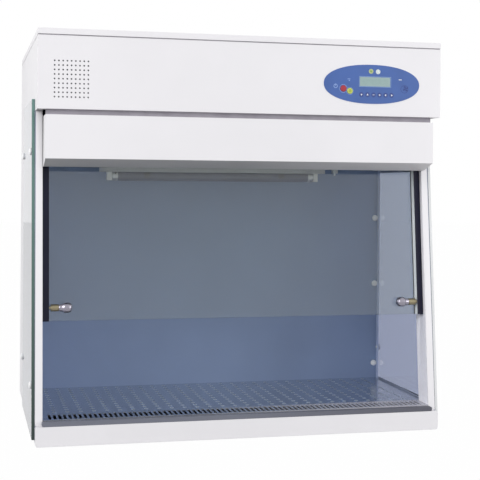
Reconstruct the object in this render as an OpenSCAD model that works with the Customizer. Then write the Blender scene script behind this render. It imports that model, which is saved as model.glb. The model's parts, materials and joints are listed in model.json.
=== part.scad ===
// Bench laminar flow hood: a sheet-steel cabinet with a leaning front sash, glass side
// walls, a perforated worktop and a fan and filter housing above the working chamber.
// Millimetres. Origin at the middle of the footprint, +Z up, the open front towards -Y.
// Shapes are drawn with Y = 0 on the front plane and moved to the middle by in_frame().

/* [Cabinet] */
// Width over the painted sheet, side glass excluded
cabinet_w = 780; // [700:10:940]
// Depth from the front rail to the rear edge
cabinet_d = 576; // [560:2:640]
// Height of the top of the lid
cabinet_h = 760; // [680:1:840]
// Thickness of the folded sheet steel
sheet_t = 1.5; // [1.2:0.1:2]
// Width of the inward flanges of the outer shell
shell_flange = 12; // [10:1:16]
// How far the fascia and hood sit behind the rail's front
face_y = 2; // [1.5:0.1:3]
// Height of the housing over the opening
box_h = 146; // [144:1:152]
// Height of the lid's turned-down edge
lid_h = 11; // [9:1:14]
// Thickness of the foam seal under the lid
seal_t = 1.5; // [1:0.1:2.5]

/* [Base] */
// Height of the rubber feet under the base
foot_h = 2; // [2:0.5:6]
// Diameter of each foot
foot_d = 36; // [28:1:44]
// Inset of the feet from the side of the cabinet
foot_inset = 50; // [40:1:70]
// Height of the top of the front rail
rail_top = 38; // [36:1:42]
// Depth of the front rail, front to back
rail_d = 66; // [65:1:72]
// Radius of the rail's corners seen from the front
rail_r = 5; // [3:0.5:8]
// Height of the upturned walls of the base pan
pan_wall_h = 25; // [18:1:30]
// Height of the rubber sill strip
sill_h = 8.5; // [6:0.5:9]
// Depth of the rubber sill strip
sill_d = 12.5; // [9:0.5:13]

/* [Front frame] */
// Lean of the front posts and sash from the vertical
front_lean = 5.7; // [4.5:0.1:6.5]
// Width of a post seen from the front
post_face = 14; // [14:0.5:18]
// Depth of a post along its inner return
post_return = 48; // [40:1:54]
// Setback of the post's foot from the rail's front
post_foot_y = 15; // [14.5:0.5:20]
// Width of the guide slot in each post
guide_slot_w = 6.4; // [5:0.2:8]

/* [Side walls] */
// Thickness of the glass
glass_t = 6; // [5:0.5:8]
// Distance of the side glass's rear edge from the front
side_glass_rear = 350; // [346:1:354]
// Height of the bottom edge of the side glass
side_glass_z0 = 13; // [8:1:20]
// How far the side glass laps over the housing
side_glass_lap = 22; // [11:1:31]
// Width of the sheet left round the side window
window_rim = 19; // [16:1:24]
// Diameter of the white cover caps
cap_d = 13; // [11:0.5:15]
// How far a cap stands proud of what it covers
cap_h = 4.5; // [2:0.5:6]

/* [Chamber] */
// Height of the worktop's upper face
deck_z = 48; // [47:0.5:52]
// Distance of the back wall from the front
chamber_d = 343; // [340:1:345]
// Depth of the chamber's ceiling below the housing
ceiling_drop = 100; // [96:1:104]
// Depth of the ceiling frame's edge
ceiling_frame_h = 12; // [10:1:14]

/* [Worktop] */
// Spacing of the air slots along the front of the worktop
slot_pitch = 9.4; // [8:0.2:14]
// Width of an air slot
slot_w = 5; // [3:0.5:6]
// Length of an air slot
slot_len = 42; // [30:1:44]
// Spacing of the hole rows across the worktop
hole_pitch_x = 25; // [20:1:40]
// Spacing of the holes along each row
hole_pitch_y = 22; // [18:1:40]
// Diameter of the worktop's holes
hole_d = 5; // [3:0.5:8]

/* [Hood] */
// Gap between the hood panel's end and the post
hood_side_gap = 0.5; // [0.5:0.1:5]
// Height of the hood panel over the sash
hood_h = 80; // [74:1:84]
// Height of the recess between the hood and the housing
hood_gap = 10; // [8:1:16]
// Gap between the hood's return and the front plane of the sash
hood_return_gap = 15; // [10:1:20]
// How far that return drops behind the hood's lower edge
hood_return_drop = 14; // [10:1:19]

/* [Sash] */
// Height of the sash's lower edge as it stands
sash_z = 225; // [215:1:235]
// Room over the sash as it stands
sash_head = 43; // [40:1:55]
// Width of the black edge profiles
edge_w = 12; // [10:0.5:14]
// Depth of the black edge profiles
edge_d = 21; // [21:0.5:22]
// Setback of the edge profiles behind the posts' front
edge_gap = 10; // [6:0.5:11]
// Setback of the glass behind the profile's front
glass_set = 13.4; // [13:0.1:13.5]
// Gap between an edge profile and its post
sash_side_gap = 0.8; // [0.5:0.1:1.5]
// Height of the plunger axis above the sash's lower edge
plunger_up = 25; // [20:1:40]
// Setback of the plunger axis behind the profile's front
plunger_set = 3.6; // [3.3:0.1:3.8]
// Diameter of the plunger knob
knob_d = 19; // [14:0.5:19]
// Length of the plunger knob
knob_len = 25; // [20:1:28]
// Outer diameter of the brass bush
bush_d = 13; // [10:0.5:14]
// Diameter of the plunger pin
pin_d = 5; // [4:0.5:5.5]
// Travel of the plunger
plunger_travel = 5; // [3:0.5:6]
// How far the sash slides down its slope
sash_down = 172; // [120:1:174]

/* [Controls] */
// Distance of the control panel's middle from the cabinet's right side
panel_inset = 142.3; // [120:0.1:190]
// Height of the control panel's middle above the housing's underside
panel_up = 61.3; // [56:0.1:66]
// Width of the oval control panel
panel_w = 195; // [180:1:220]
// Height of the oval control panel
panel_h = 75.5; // [70:0.5:90]
// Width of the display window
display_w = 62; // [50:1:70]
// Height of the display window
display_h = 17.5; // [14:0.5:24]
// Diameter of the red key
red_d = 12; // [9:0.5:12.5]
// Diameter of the yellow key
yellow_d = 11; // [9:0.5:12]
// Travel of a key
key_travel = 0.5; // [0.3:0.1:0.6]
// Diameter of the vent holes
vent_d = 3.1; // [2.4:0.1:4.4]
// Sideways spacing of the vent holes
vent_pitch_x = 7.6; // [6:0.1:9]
// Upright spacing of the vent holes
vent_pitch_z = 8.2; // [6:0.1:9]
// Number of vent holes each way
vent_count = 9; // [5:1:11]
// Distance of the vent field's middle from the cabinet's left side
vent_inset = 60.7; // [50:0.1:90]
// Height of the vent field's middle above the housing's underside
vent_up = 54.7; // [50:0.1:70]

/* [Filter] */
// Height of the filter's frame
filter_h = 70; // [60:1:74]
// Wall of the filter's frame
filter_wall = 12; // [10:1:18]
// Spacing of the filter's pleats
pleat_pitch = 14; // [12:1:24]
// Thickness of the filter paper
pleat_t = 1.6; // [1:0.1:2.5]
// Thickness of the filter's gasket
gasket_t = 4; // [3:0.5:6]
// Height of the plenum over the filter
plenum_h = 100; // [96:1:106]

/* [Fan] */
// Diameter of the impeller
impeller_d = 140; // [120:2:150]
// Width of the impeller
impeller_w = 92; // [70:2:100]
// Number of blades
blade_count = 30; // [24:1:40]
// Thickness of a blade
blade_t = 1.2; // [1:0.1:1.6]
// Diameter of the motor shaft
shaft_d = 10; // [8:0.5:12]
// Diameter of the motor
motor_d = 96; // [80:2:110]
// Length of the motor
motor_len = 90; // [70:2:110]
// Width of the fan housing
fan_w = 116; // [110:2:130]

/* [Lighting] */
// Diameter of the light tube
tube_d = 26; // [16:1:26]
// Length of the glass of the light tube
tube_len = 437; // [400:1:520]
// Distance of the light tube from the front
tube_y = 296; // [280:1:310]

/* [Hidden] */
$fn = 48;

// Clearances
fit = 0.2;
slide_fit = 0.1;
key_fit = 0.3;
eps = 0.01;

// Cabinet levels and half widths
half_w = cabinet_w / 2;
inner_w = half_w - sheet_t;
shell_top = cabinet_h - lid_h - seal_t;
lid_z = cabinet_h - lid_h;
box_z = cabinet_h - box_h;
ceiling_z = box_z - ceiling_drop;
side_glass_z1 = box_z + side_glass_lap;
base_z = foot_h;
pan_top = base_z + sheet_t;
panel_recess = 2.5;
rear_face_y = cabinet_d - panel_recess;
rear_inner_y = rear_face_y - sheet_t;

// Front frame
post_in = half_w - post_face;
post_top_z = shell_top - 7;
function lean_y(z) = post_foot_y + (z - rail_top) * tan(front_lean);

// Side window
window_z0 = deck_z + 4;
window_z1 = ceiling_z - 6;
window_rear = side_glass_rear - window_rim;
front_cap_in = 15;
rear_cap_in = 10;
front_cap_up = 96;
front_cap_down = 76;
rear_cap_up = 104;
rear_cap_down = 79;
front_cap_zs = [side_glass_z0 + front_cap_up, box_z - front_cap_down];
rear_cap_zs = [side_glass_z0 + rear_cap_up, box_z - rear_cap_down];
ledge_t = sheet_t;
ledge_front = rail_d;
ceiling_ledge_y = lean_y(box_z) + post_return + 5;

// Back wall
wall_front = chamber_d;
wall_flange = side_glass_rear - sheet_t - chamber_d;
wall_cap_x = post_in + 5.8;
low_cap_up = 33;
mid_cap_up = 212;
top_cap_down = 107;
wall_cap_zs = [deck_z + low_cap_up, deck_z + mid_cap_up, ceiling_z - top_cap_down];
wall_cap_d = 12.5;
wall_z0 = 30;

// Worktop
deck_t = sheet_t;
deck_y0 = sill_d + 2;
deck_notch_y = lean_y(deck_z) + post_return + 1.5;
deck_rear = wall_front - fit;
slot_y0 = deck_y0 + 4;
holes_y0 = slot_y0 + slot_len + 24;

// Ceiling and filter
ceiling_y0 = lean_y(ceiling_z) + (edge_gap + edge_d + 2.2) / cos(front_lean) + 2;
ceiling_notch_y = lean_y(ceiling_z + ceiling_frame_h) + post_return + 3;
ceiling_top = ceiling_z + ceiling_frame_h;
filter_half = post_in - 4;
filter_y1 = wall_front - 5;
filter_z = ceiling_top;
filter_top = filter_z + filter_h;
plenum_z = filter_top + gasket_t;
plenum_top = plenum_z + plenum_h;
filter_y0 = lean_y(plenum_top) + (edge_gap + edge_d) / cos(front_lean) + 3.5;
grille_rim = 14;

// Sash
sash_len = (shell_top - sash_head - sash_z) / cos(front_lean);
sash_half = post_in - sash_side_gap;
sash_glass_half = sash_half - 2;
plunger_y = edge_gap + plunger_set;
plunger_x0 = sash_half - edge_w;
bush_neck = 3;
bush_len = plunger_travel + 9.5;
guide_ups = [sash_len / 2 - 1, sash_len - 42];
guide_half = 12;
guide_w = 6;
guide_y = 12;

slot_z0 = sash_z + (guide_ups[0] - guide_half - sash_down) * cos(front_lean) - 6;

// Fan
fan_y = (side_glass_rear + rear_inner_y) / 2;
scroll_r0 = impeller_d / 2 + 8;
scroll_r1 = impeller_d / 2 + 34;
fan_z = plenum_top - 6 - scroll_r1;
fan_wall = 1.5;
shelf_z = fan_z - scroll_r1 - 14;
shelf_t = 2;
shaft_clear = 0.05;
hub_d = 26;

// Controls
panel_t = 0.6;
panel_x = half_w - panel_inset;
panel_z = box_z + panel_up;
// Places of the keys, lenses and display from the panel's middle
red_at = [-58.1, -9.4];
yellow_at = [-44.9, -13.8];
lens_at = [[-2.2, 25.1], [12.2, 24.6]];
lens_d = 7;
display_at = [6.3, 4.9];
board_y = face_y + sheet_t + 14;
board_w = 170;
board_h = 62;
board_t = 1.6;
vent_x = vent_inset - half_w;
vent_z = box_z + vent_up;
standoff_d = 6;
switch_w = 8;
switch_h = 5;

// Lighting
tube_z = ceiling_z - tube_d / 2 - 2.5;
holder_t = 10;
tube_cap = 12;

// Rear panel screws
screw_d = 3;
screw_head_d = 8;
screw_head_h = 2;

painted = "whitesmoke";
steel = "silver";
dark = "#22222e";
tinted = "lightsteelblue";

// Moves a shape from front-plane coordinates to the middle of the footprint
module in_frame() translate([0, -cabinet_d / 2, 0]) children();

// A block from its lowest to its highest corner
module block(lo, hi) translate(lo) cube(hi - lo);

// A block mirrored about the middle of the width
module wide_block(half, y0, y1, z0, z1) block([-half, y0, z0], [half, y1, z1]);

// A YZ outline extruded along X from x0 to x1
module along_x(x0, x1) translate([x0, 0, 0]) rotate([90, 0, 90]) linear_extrude(x1 - x0) children();

// An XZ outline extruded along Y from y0 to y1
module along_y(y0, y1) translate([0, y1, 0]) rotate([90, 0, 0]) linear_extrude(y1 - y0) children();

// A rectangle with round corners, from [0, 0] to size
module round_rect(size, r) {
    translate([r, 0]) square([size.x - 2 * r, size.y]);
    translate([0, r]) square([size.x, size.y - 2 * r]);
    for (x = [r, size.x - r], y = [r, size.y - r]) translate([x, y]) circle(r);
}

// A slot of length len along Y and width w, from its front end's middle
module slot_2d(w, len) {
    translate([-w / 2, w / 2]) square([w, len - w]);
    for (y = [w / 2, len - w / 2]) translate([0, y]) circle(w / 2, $fn = 24);
}

// The YZ outline of a band that leans with the front, offset a to b behind the post's front
module lean_band(a, b, z0, z1) polygon([
    [lean_y(z0) + a, z0], [lean_y(z0) + b, z0], [lean_y(z1) + b, z1], [lean_y(z1) + a, z1]
]);

// The sash's own frame: origin on the post's front plane at the sash's lower edge
module on_sash() translate([0, lean_y(sash_z), sash_z]) rotate([-front_lean, 0, 0]) children();

// Draws the left and the right copy of a shape drawn on the right
module both_sides() {
    children();
    mirror([1, 0, 0]) children();
}

module left_side() mirror([1, 0, 0]) children();

// ---- Base ----

foot_ys = [rail_d + 45, cabinet_d - 46];
foot_x = half_w - foot_inset;
foot_stem_d = 12;

module feet() color("dimgray") in_frame()
    for (x = [-foot_x, foot_x], y = foot_ys) translate([x, y, 0]) rotate_extrude() polygon([
        [0, 0], [foot_d / 2 - 1, 0], [foot_d / 2, base_z / 2], [foot_d / 2 - 0.5, base_z],
        [foot_stem_d / 2, base_z], [foot_stem_d / 2, pan_top], [foot_stem_d / 2 + 3, pan_top],
        [foot_stem_d / 2 + 1, pan_top + 4], [0, pan_top + 4]
    ]);

module base_pan() color(painted) in_frame() difference() {
    wide_block(inner_w - fit, rail_d, rear_inner_y - sheet_t - fit, base_z, base_z + pan_wall_h);
    wide_block(inner_w - fit - sheet_t, rail_d + sheet_t, rear_inner_y - 2 * sheet_t - fit,
        pan_top, base_z + pan_wall_h + 1);
    for (x = [-foot_x, foot_x], y = foot_ys)
        translate([x, y, base_z - 1]) cylinder(d = foot_stem_d + 2 * fit, h = sheet_t + 2);
}

module rail_outline(inset) translate([-half_w + inset, base_z + inset])
    round_rect([cabinet_w - 2 * inset, rail_top - base_z - 2 * inset], rail_r - inset);

module front_rail() color(painted) in_frame() difference() {
    along_y(0, rail_d) rail_outline(0);
    along_y(sheet_t, rail_d + 1) rail_outline(sheet_t);
}

module sill_strip() color(dark) in_frame() along_y(1, 1 + sill_d)
    translate([-post_in - 2, rail_top]) round_rect([2 * post_in + 4, sill_h], 3);

// ---- Side frames and glass ----

module window_outline() polygon([
    [lean_y(window_z0) + post_return, window_z0], [window_rear, window_z0],
    [window_rear, window_z1], [lean_y(window_z1) + post_return, window_z1]
]);

module side_sheet_outline() polygon([
    [lean_y(rail_top), rail_top], [rail_d, rail_top], [rail_d, base_z],
    [side_glass_rear, base_z], [side_glass_rear, box_z], [lean_y(box_z), box_z]
]);

// Middles of the four side-glass screws, [y, z]
function side_screws() = [
    for (z = front_cap_zs) [lean_y(z) + front_cap_in, z],
    for (z = rear_cap_zs) [side_glass_rear - rear_cap_in, z]
];

module at_side_screws() for (p = side_screws()) translate([0, p.x, p.y]) rotate([0, 90, 0]) children();

module side_frame() color(painted) in_frame() difference() {
    union() {
        along_x(inner_w, half_w) difference() {
            side_sheet_outline();
            window_outline();
        }
        along_x(post_in, inner_w) lean_band(0, sheet_t, rail_top, box_z);
        along_x(post_in, inner_w - fit) lean_band(0, sheet_t, box_z, post_top_z);
        along_x(post_in, post_in + sheet_t) lean_band(0, post_return, rail_top, post_top_z);
        along_x(post_in, inner_w) lean_band(post_return - sheet_t, post_return, rail_top, box_z);
        along_x(post_in, inner_w - fit)
            lean_band(post_return - sheet_t, post_return, box_z, post_top_z);
        // Ledge under the worktop
        block([post_in, ledge_front, deck_z - deck_t - ledge_t], [inner_w, wall_front, deck_z - deck_t]);
        // Ledge under the ceiling frame
        block([post_in, ceiling_ledge_y, ceiling_z - ledge_t], [inner_w, wall_front, ceiling_z]);
        // Rear return that carries the back wall
        block([post_in - 6, side_glass_rear - sheet_t, base_z + pan_wall_h + 1],
            [inner_w, side_glass_rear, box_z - sheet_t]);
        // Top flange
        block([post_in, ceiling_ledge_y, box_z - sheet_t], [inner_w, side_glass_rear, box_z]);
    }
    along_x(post_in - 1, post_in + sheet_t + 1) lean_band(
        edge_gap + guide_y - guide_slot_w / 2, edge_gap + guide_y + guide_slot_w / 2,
        slot_z0, post_top_z + 1);
    at_side_screws() translate([0, 0, inner_w - 4]) cylinder(d = 5.4, h = 8);
    for (z = wall_cap_zs) translate([wall_cap_x, side_glass_rear - 3 * sheet_t, z])
        rotate([-90, 0, 0]) cylinder(d = 5.4, h = 4 * sheet_t);
}

module side_frame_right() side_frame();
module side_frame_left() left_side() side_frame();

module side_glass() color(tinted, 0.5) in_frame() difference() {
    along_x(half_w, half_w + glass_t) polygon([
        [lean_y(side_glass_z0), side_glass_z0], [side_glass_rear, side_glass_z0],
        [side_glass_rear, side_glass_z1], [lean_y(side_glass_z1), side_glass_z1]
    ]);
    at_side_screws() translate([0, 0, inner_w]) cylinder(d = 6.4, h = glass_t + 4);
}

module side_glass_right() side_glass();
module side_glass_left() left_side() side_glass();

// A screw with a domed cover cap; the cap's seat is at z = 0 and the shank runs down
module capped_screw(head_d, shank_d, shank_len) rotate_extrude() {
    translate([0, -shank_len]) square([shank_d / 2, shank_len + eps]);
    intersection() {
        square([head_d / 2, cap_h]);
        translate([0, cap_h - head_d]) circle(head_d, $fn = 96);
    }
}

module glass_caps() color("white") in_frame() both_sides()
    for (p = side_screws()) translate([half_w + glass_t, p.x, p.y]) rotate([0, 90, 0])
        capped_screw(cap_d, 5, glass_t + 3);

// ---- Chamber ----

module back_wall() color("slategray") in_frame() difference() {
    union() {
        wide_block(inner_w - fit, wall_front, wall_front + sheet_t, wall_z0, ceiling_z - fit);
        both_sides() block([inner_w - fit - sheet_t, wall_front, wall_z0],
            [inner_w - fit, wall_front + wall_flange, ceiling_z - fit]);
        wide_block(inner_w - fit, wall_front, wall_front + wall_flange, wall_z0, wall_z0 + sheet_t);
    }
    both_sides() for (z = wall_cap_zs) translate([wall_cap_x, wall_front - 1, z])
        rotate([-90, 0, 0]) cylinder(d = 5.4, h = sheet_t + 2);
}

module wall_caps() color("white") in_frame() both_sides() for (z = wall_cap_zs)
    translate([wall_cap_x, wall_front, z]) rotate([90, 0, 0]) capped_screw(wall_cap_d, 5, wall_flange + 3);

slot_count = floor((2 * post_in - 16) / slot_pitch);
hole_cols = floor((2 * inner_w - 30) / hole_pitch_x);
hole_rows = floor((deck_rear - holes_y0 - 12) / hole_pitch_y) + 1;

module deck_outline() {
    translate([-inner_w + fit, deck_notch_y]) square([2 * (inner_w - fit), deck_rear - deck_notch_y]);
    translate([-post_in + fit, deck_y0]) square([2 * (post_in - fit), deck_notch_y - deck_y0 + eps]);
}

module worktop() color(steel) in_frame() {
    translate([0, 0, deck_z - deck_t]) linear_extrude(deck_t) difference() {
        deck_outline();
        for (i = [0:slot_count - 1])
            translate([(i - (slot_count - 1) / 2) * slot_pitch, slot_y0]) slot_2d(slot_w, slot_len);
        for (i = [0:hole_cols - 1], j = [0:hole_rows - 1])
            translate([(i - (hole_cols - 1) / 2) * hole_pitch_x, holes_y0 + j * hole_pitch_y])
                circle(d = hole_d, $fn = 16);
    }
    wide_block(post_in - fit, deck_y0, deck_y0 + deck_t, rail_top, deck_z - deck_t);
}

tray_wall_h = 22;
tray_t = 1;
tray_half = foot_x - foot_stem_d / 2 - 6;

module spill_tray() color(steel) in_frame() difference() {
    wide_block(tray_half, rail_d + 10, wall_front - 10, pan_top, pan_top + tray_wall_h);
    wide_block(tray_half - tray_t, rail_d + 10 + tray_t, wall_front - 10 - tray_t,
        pan_top + tray_t, pan_top + tray_wall_h + 1);
}

// ---- Outer shell, rear panel and lid ----

louvre_count = 12;
louvre_pitch = 14;
louvre_len = 240;
louvre_w = 5;
louvre_z0 = 130;
inlet_x = half_w - 90;
inlet_z = 70;
inlet_w = 48;
inlet_h = 27;
rear_screw_rows = 4;
rear_screw_z0 = 60;
rear_screw_in = 270;
rear_screw_x = half_w - rear_screw_in;
rear_screw_top = 117.5;

module vent_holes() for (i = [0:vent_count - 1], j = [0:vent_count - 1])
    translate([vent_x + (i - (vent_count - 1) / 2) * vent_pitch_x,
        vent_z + (j - (vent_count - 1) / 2) * vent_pitch_z]) circle(d = vent_d, $fn = 16);

module key_hole(at, d) translate([panel_x + at.x, panel_z + at.y]) circle(d = d + 2 * key_fit);

module panel_openings(lens_hole) {
    key_hole(red_at, red_d);
    key_hole(yellow_at, yellow_d);
    for (p = lens_at) key_hole(p, lens_hole);
    translate([panel_x + display_at.x - display_w / 2 - fit, panel_z + display_at.y - display_h / 2 - fit])
        square([display_w + 2 * fit, display_h + 2 * fit]);
}

module shell_side_outline() polygon([
    [face_y, box_z], [side_glass_rear, box_z], [side_glass_rear, base_z],
    [cabinet_d, base_z], [cabinet_d, shell_top], [face_y, shell_top]
]);

module outer_shell() color(painted) in_frame() difference() {
    union() {
        along_y(face_y, face_y + sheet_t) translate([-half_w, box_z]) square([cabinet_w, shell_top - box_z]);
        both_sides() along_x(inner_w, half_w) shell_side_outline();
        // Lower return of the fascia
        wide_block(inner_w, face_y, face_y + 26, box_z, box_z + sheet_t);
        // Upper flanges under the lid's seal
        wide_block(inner_w, face_y, face_y + shell_flange, shell_top - sheet_t, shell_top);
        both_sides() block([inner_w - shell_flange, face_y, shell_top - sheet_t],
            [inner_w, rear_inner_y, shell_top]);
        wide_block(inner_w, rear_inner_y - shell_flange, rear_inner_y, shell_top - sheet_t, shell_top);
        // Rear flanges behind the rear panel
        both_sides() block([inner_w - shell_flange, rear_inner_y - sheet_t, base_z],
            [inner_w, rear_inner_y, shell_top]);
        wide_block(inner_w, rear_inner_y - sheet_t, rear_inner_y, shell_top - shell_flange, shell_top);
    }
    along_y(face_y - 1, face_y + sheet_t + 1) {
        vent_holes();
        panel_openings(lens_d);
    }
}

module rear_screw_points() {
    pitch = (shell_top - rear_screw_top - rear_screw_z0) / (rear_screw_rows - 1);
    for (i = [0:rear_screw_rows - 1])
        both_sides() translate([inner_w - shell_flange / 2, rear_screw_z0 + i * pitch]) children();
    both_sides() translate([rear_screw_x, shell_top - shell_flange / 2]) children();
}

module rear_panel() color(painted) in_frame() along_y(rear_inner_y, rear_face_y) difference() {
    translate([-inner_w + fit, base_z + fit]) square([2 * (inner_w - fit), shell_top - base_z - 2 * fit]);
    for (i = [0:louvre_count - 1]) translate([-louvre_len / 2, louvre_z0 + i * louvre_pitch])
        rotate(-90) slot_2d(louvre_w, louvre_len);
    translate([inlet_x - inlet_w / 2 + 9, inlet_z - inlet_h / 2 + 1.5])
        square([inlet_w - 18, inlet_h - 3]);
    rear_screw_points() circle(d = screw_d + 2 * fit, $fn = 24);
}

module panel_screws() color(steel) in_frame() translate([0, rear_face_y, 0]) rotate([90, 0, 0])
    mirror([0, 0, 1]) rear_screw_points() {
        translate([0, 0, 0.2 - sheet_t]) cylinder(d = screw_d, h = sheet_t, $fn = 24);
        difference() {
            cylinder(d = screw_head_d, h = screw_head_h);
            translate([0, 0, screw_head_h / 2]) for (a = [0, 90]) rotate(a)
                translate([-screw_head_d * 0.3, -screw_d / 6, 0])
                    cube([screw_head_d * 0.6, screw_d / 3, screw_head_h]);
        }
    }

module lid() color(painted) in_frame() difference() {
    wide_block(half_w, 0, cabinet_d, lid_z, cabinet_h);
    wide_block(inner_w, sheet_t, cabinet_d - sheet_t, lid_z - 1, cabinet_h - sheet_t);
}

module lid_seal() color(dark) in_frame() difference() {
    wide_block(half_w - 1, face_y, cabinet_d - 1, shell_top, lid_z);
    wide_block(inner_w - shell_flange, face_y + shell_flange, rear_inner_y - shell_flange,
        shell_top - 1, lid_z + 1);
}

// ---- Hood over the sash ----

hood_half = post_in - hood_side_gap;
hood_z1 = box_z - hood_gap;
hood_z0 = hood_z1 - hood_h;
hood_return_z = hood_z0 - hood_return_drop;
hood_return_y = lean_y(hood_return_z) - hood_return_gap;
hood_side_rear = hood_return_y + 10;
spacer_y = face_y + 10;
spacer_d = 14;

module hood_outline(inset) polygon([
    [face_y + inset, hood_z1 - inset], [face_y + inset, hood_z0 + inset * 0.9],
    [hood_return_y, hood_return_z + inset], [hood_side_rear, hood_return_z + inset],
    [hood_side_rear, hood_z1 - inset]
]);

module hood_panel() color(painted) in_frame() {
    difference() {
        along_x(-hood_half, hood_half) hood_outline(0);
        along_x(-hood_half + sheet_t, hood_half - sheet_t) hood_outline(sheet_t);
        wide_block(hood_half - sheet_t, face_y + 26, hood_side_rear + 1, hood_z1 - 40, hood_z1 + 1);
        wide_block(hood_half - sheet_t, hood_return_y + sheet_t, hood_side_rear + 1,
            hood_return_z - 1, hood_z1 - 30);
    }
    wide_block(hood_half - eps, hood_return_y, hood_return_y + sheet_t, hood_return_z + eps,
        hood_z0);
}

module hood_spacer() color("darkgray") in_frame()
    wide_block(hood_half - sheet_t, spacer_y, spacer_y + spacer_d, hood_z1, box_z);

// ---- Ceiling and filter ----

module ceiling_plan(inset) {
    translate([-inner_w + 0.5 + inset, ceiling_notch_y + inset])
        square([2 * (inner_w - 0.5 - inset), wall_front - ceiling_notch_y - 2 * inset]);
    translate([-post_in + 0.5 + inset, ceiling_y0 + inset])
        square([2 * (post_in - 0.5 - inset), wall_front - ceiling_y0 - 2 * inset]);
}

module grille_opening() translate([-filter_half + grille_rim + 6, filter_y0 + grille_rim])
    square([2 * (filter_half - grille_rim - 6), filter_y1 - filter_y0 - 2 * grille_rim]);

module ceiling_frame() color(painted) in_frame() translate([0, 0, ceiling_z]) {
    linear_extrude(sheet_t) difference() {
        ceiling_plan(0);
        grille_opening();
    }
    linear_extrude(ceiling_frame_h) difference() {
        ceiling_plan(0);
        ceiling_plan(sheet_t);
    }
    linear_extrude(ceiling_frame_h) difference() {
        translate([-filter_half, filter_y0]) square([2 * filter_half, filter_y1 - filter_y0]);
        translate([-filter_half + filter_wall, filter_y0 + filter_wall])
            square([2 * (filter_half - filter_wall), filter_y1 - filter_y0 - 2 * filter_wall]);
    }
}

grille_slot = [40, 6];
grille_pitch = [50, 14];

module ceiling_grille() color(steel) in_frame() translate([0, 0, ceiling_z + sheet_t])
    linear_extrude(1) difference() {
        translate([-filter_half + filter_wall + fit, filter_y0 + filter_wall + fit]) square([
            2 * (filter_half - filter_wall - fit), filter_y1 - filter_y0 - 2 * (filter_wall + fit)]);
        nx = floor(2 * (filter_half - grille_rim - 10) / grille_pitch.x);
        ny = floor((filter_y1 - filter_y0 - 2 * grille_rim) / grille_pitch.y);
        for (i = [0:nx - 1], j = [0:ny - 1])
            translate([(i - (nx - 1) / 2) * grille_pitch.x - grille_slot.x / 2,
                (filter_y0 + filter_y1) / 2 + (j - (ny - 1) / 2) * grille_pitch.y - grille_slot.y / 2])
                square(grille_slot);
    }

module ring_block(half, y0, y1, z0, z1, wall) difference() {
    wide_block(half, y0, y1, z0, z1);
    wide_block(half - wall, y0 + wall, y1 - wall, z0 - 1, z1 + 1);
}

module filter_frame() color("burlywood") in_frame()
    ring_block(filter_half, filter_y0, filter_y1, filter_z, filter_top, filter_wall);

// Zigzag of folded paper: out along the lower face of the sheet and back along the upper
pleat_half = filter_half - filter_wall - fit;
pleat_n = floor(2 * pleat_half / pleat_pitch);
pleat_h = filter_h - 8 - pleat_t * 4;
function pleat_pt(i, up) = [
    (i - pleat_n) * pleat_half / pleat_n, (i % 2) * pleat_h + up * pleat_t * 4
];

module filter_media() color("white") in_frame()
    along_y(filter_y0 + filter_wall + fit, filter_y1 - filter_wall - fit) translate([0, filter_z + 4])
        polygon(concat(
            [for (i = [0:2 * pleat_n]) pleat_pt(i, 0)], [for (i = [2 * pleat_n:-1:0]) pleat_pt(i, 1)]
        ));

module filter_gasket() color(dark) in_frame()
    ring_block(filter_half - 1, filter_y0 + 1, filter_y1 - 1, filter_top, plenum_z, 8);

duct_half = fan_w / 2;
duct_z0 = fan_z + 22;
duct_z1 = fan_z + scroll_r1;

module plenum_box() color("lightgray") in_frame() difference() {
    wide_block(filter_half, filter_y0, filter_y1, plenum_z, plenum_top);
    wide_block(filter_half - sheet_t, filter_y0 + sheet_t, filter_y1 - sheet_t,
        plenum_z - 1, plenum_top - sheet_t);
    wide_block(duct_half + fit, filter_y1 - 2 * sheet_t, filter_y1 + 1, duct_z0 - fit, duct_z1 + fit);
}

// ---- Fan ----

// Radius of the scroll at angle a, growing from the tongue round to the outlet
function scroll_r(a) = scroll_r0 + (scroll_r1 - scroll_r0) * a / 360;

// Scroll outline round the fan's axis in [y, z]; the outlet leaves at the top towards the front
module scroll_outline(inset) {
    steps = 40;
    polygon(concat(
        [for (i = [0:steps]) let (t = i / steps * 300, r = scroll_r(60 + t) - inset, a = 150 + t)
            [r * cos(a), r * sin(a)]],
        [[0, 0]]
    ));
    translate([filter_y1 - fan_y - 2 * inset, duct_z0 - fan_z + inset])
        square([fan_y - filter_y1 + 2 * inset, duct_z1 - duct_z0 - 2 * inset]);
    circle(r = scroll_r0 - inset, $fn = 96);
}

module fan_housing() color("gainsboro") in_frame() difference() {
    union() {
        translate([0, fan_y, fan_z]) difference() {
            along_x(-fan_w / 2, fan_w / 2) scroll_outline(0);
            along_x(-fan_w / 2 + fan_wall, fan_w / 2 - fan_wall) scroll_outline(fan_wall);
        }
        // Feet on the shelf
        for (x = [-fan_w / 2, fan_w / 2 - 12], y = [fan_y - 60, fan_y + 48])
            block([x, y, shelf_z + shelf_t], [x + 12, y + 12, fan_z - scroll_r0 + 30]);
    }
    translate([-fan_w, fan_y, fan_z]) rotate([0, 90, 0]) cylinder(d = impeller_d - 24, h = 2 * fan_w, $fn = 96);
    translate([0, fan_y, fan_z]) along_x(-fan_w / 2 + fan_wall, fan_w / 2 - fan_wall)
        scroll_outline(fan_wall);
}

module blade_section() difference() {
    circle(r = 12 + blade_t, $fn = 32);
    circle(r = 12, $fn = 32);
    translate([-20, -20]) square([40, 20]);
    translate([-20, 0]) square([20, 20]);
}

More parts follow.
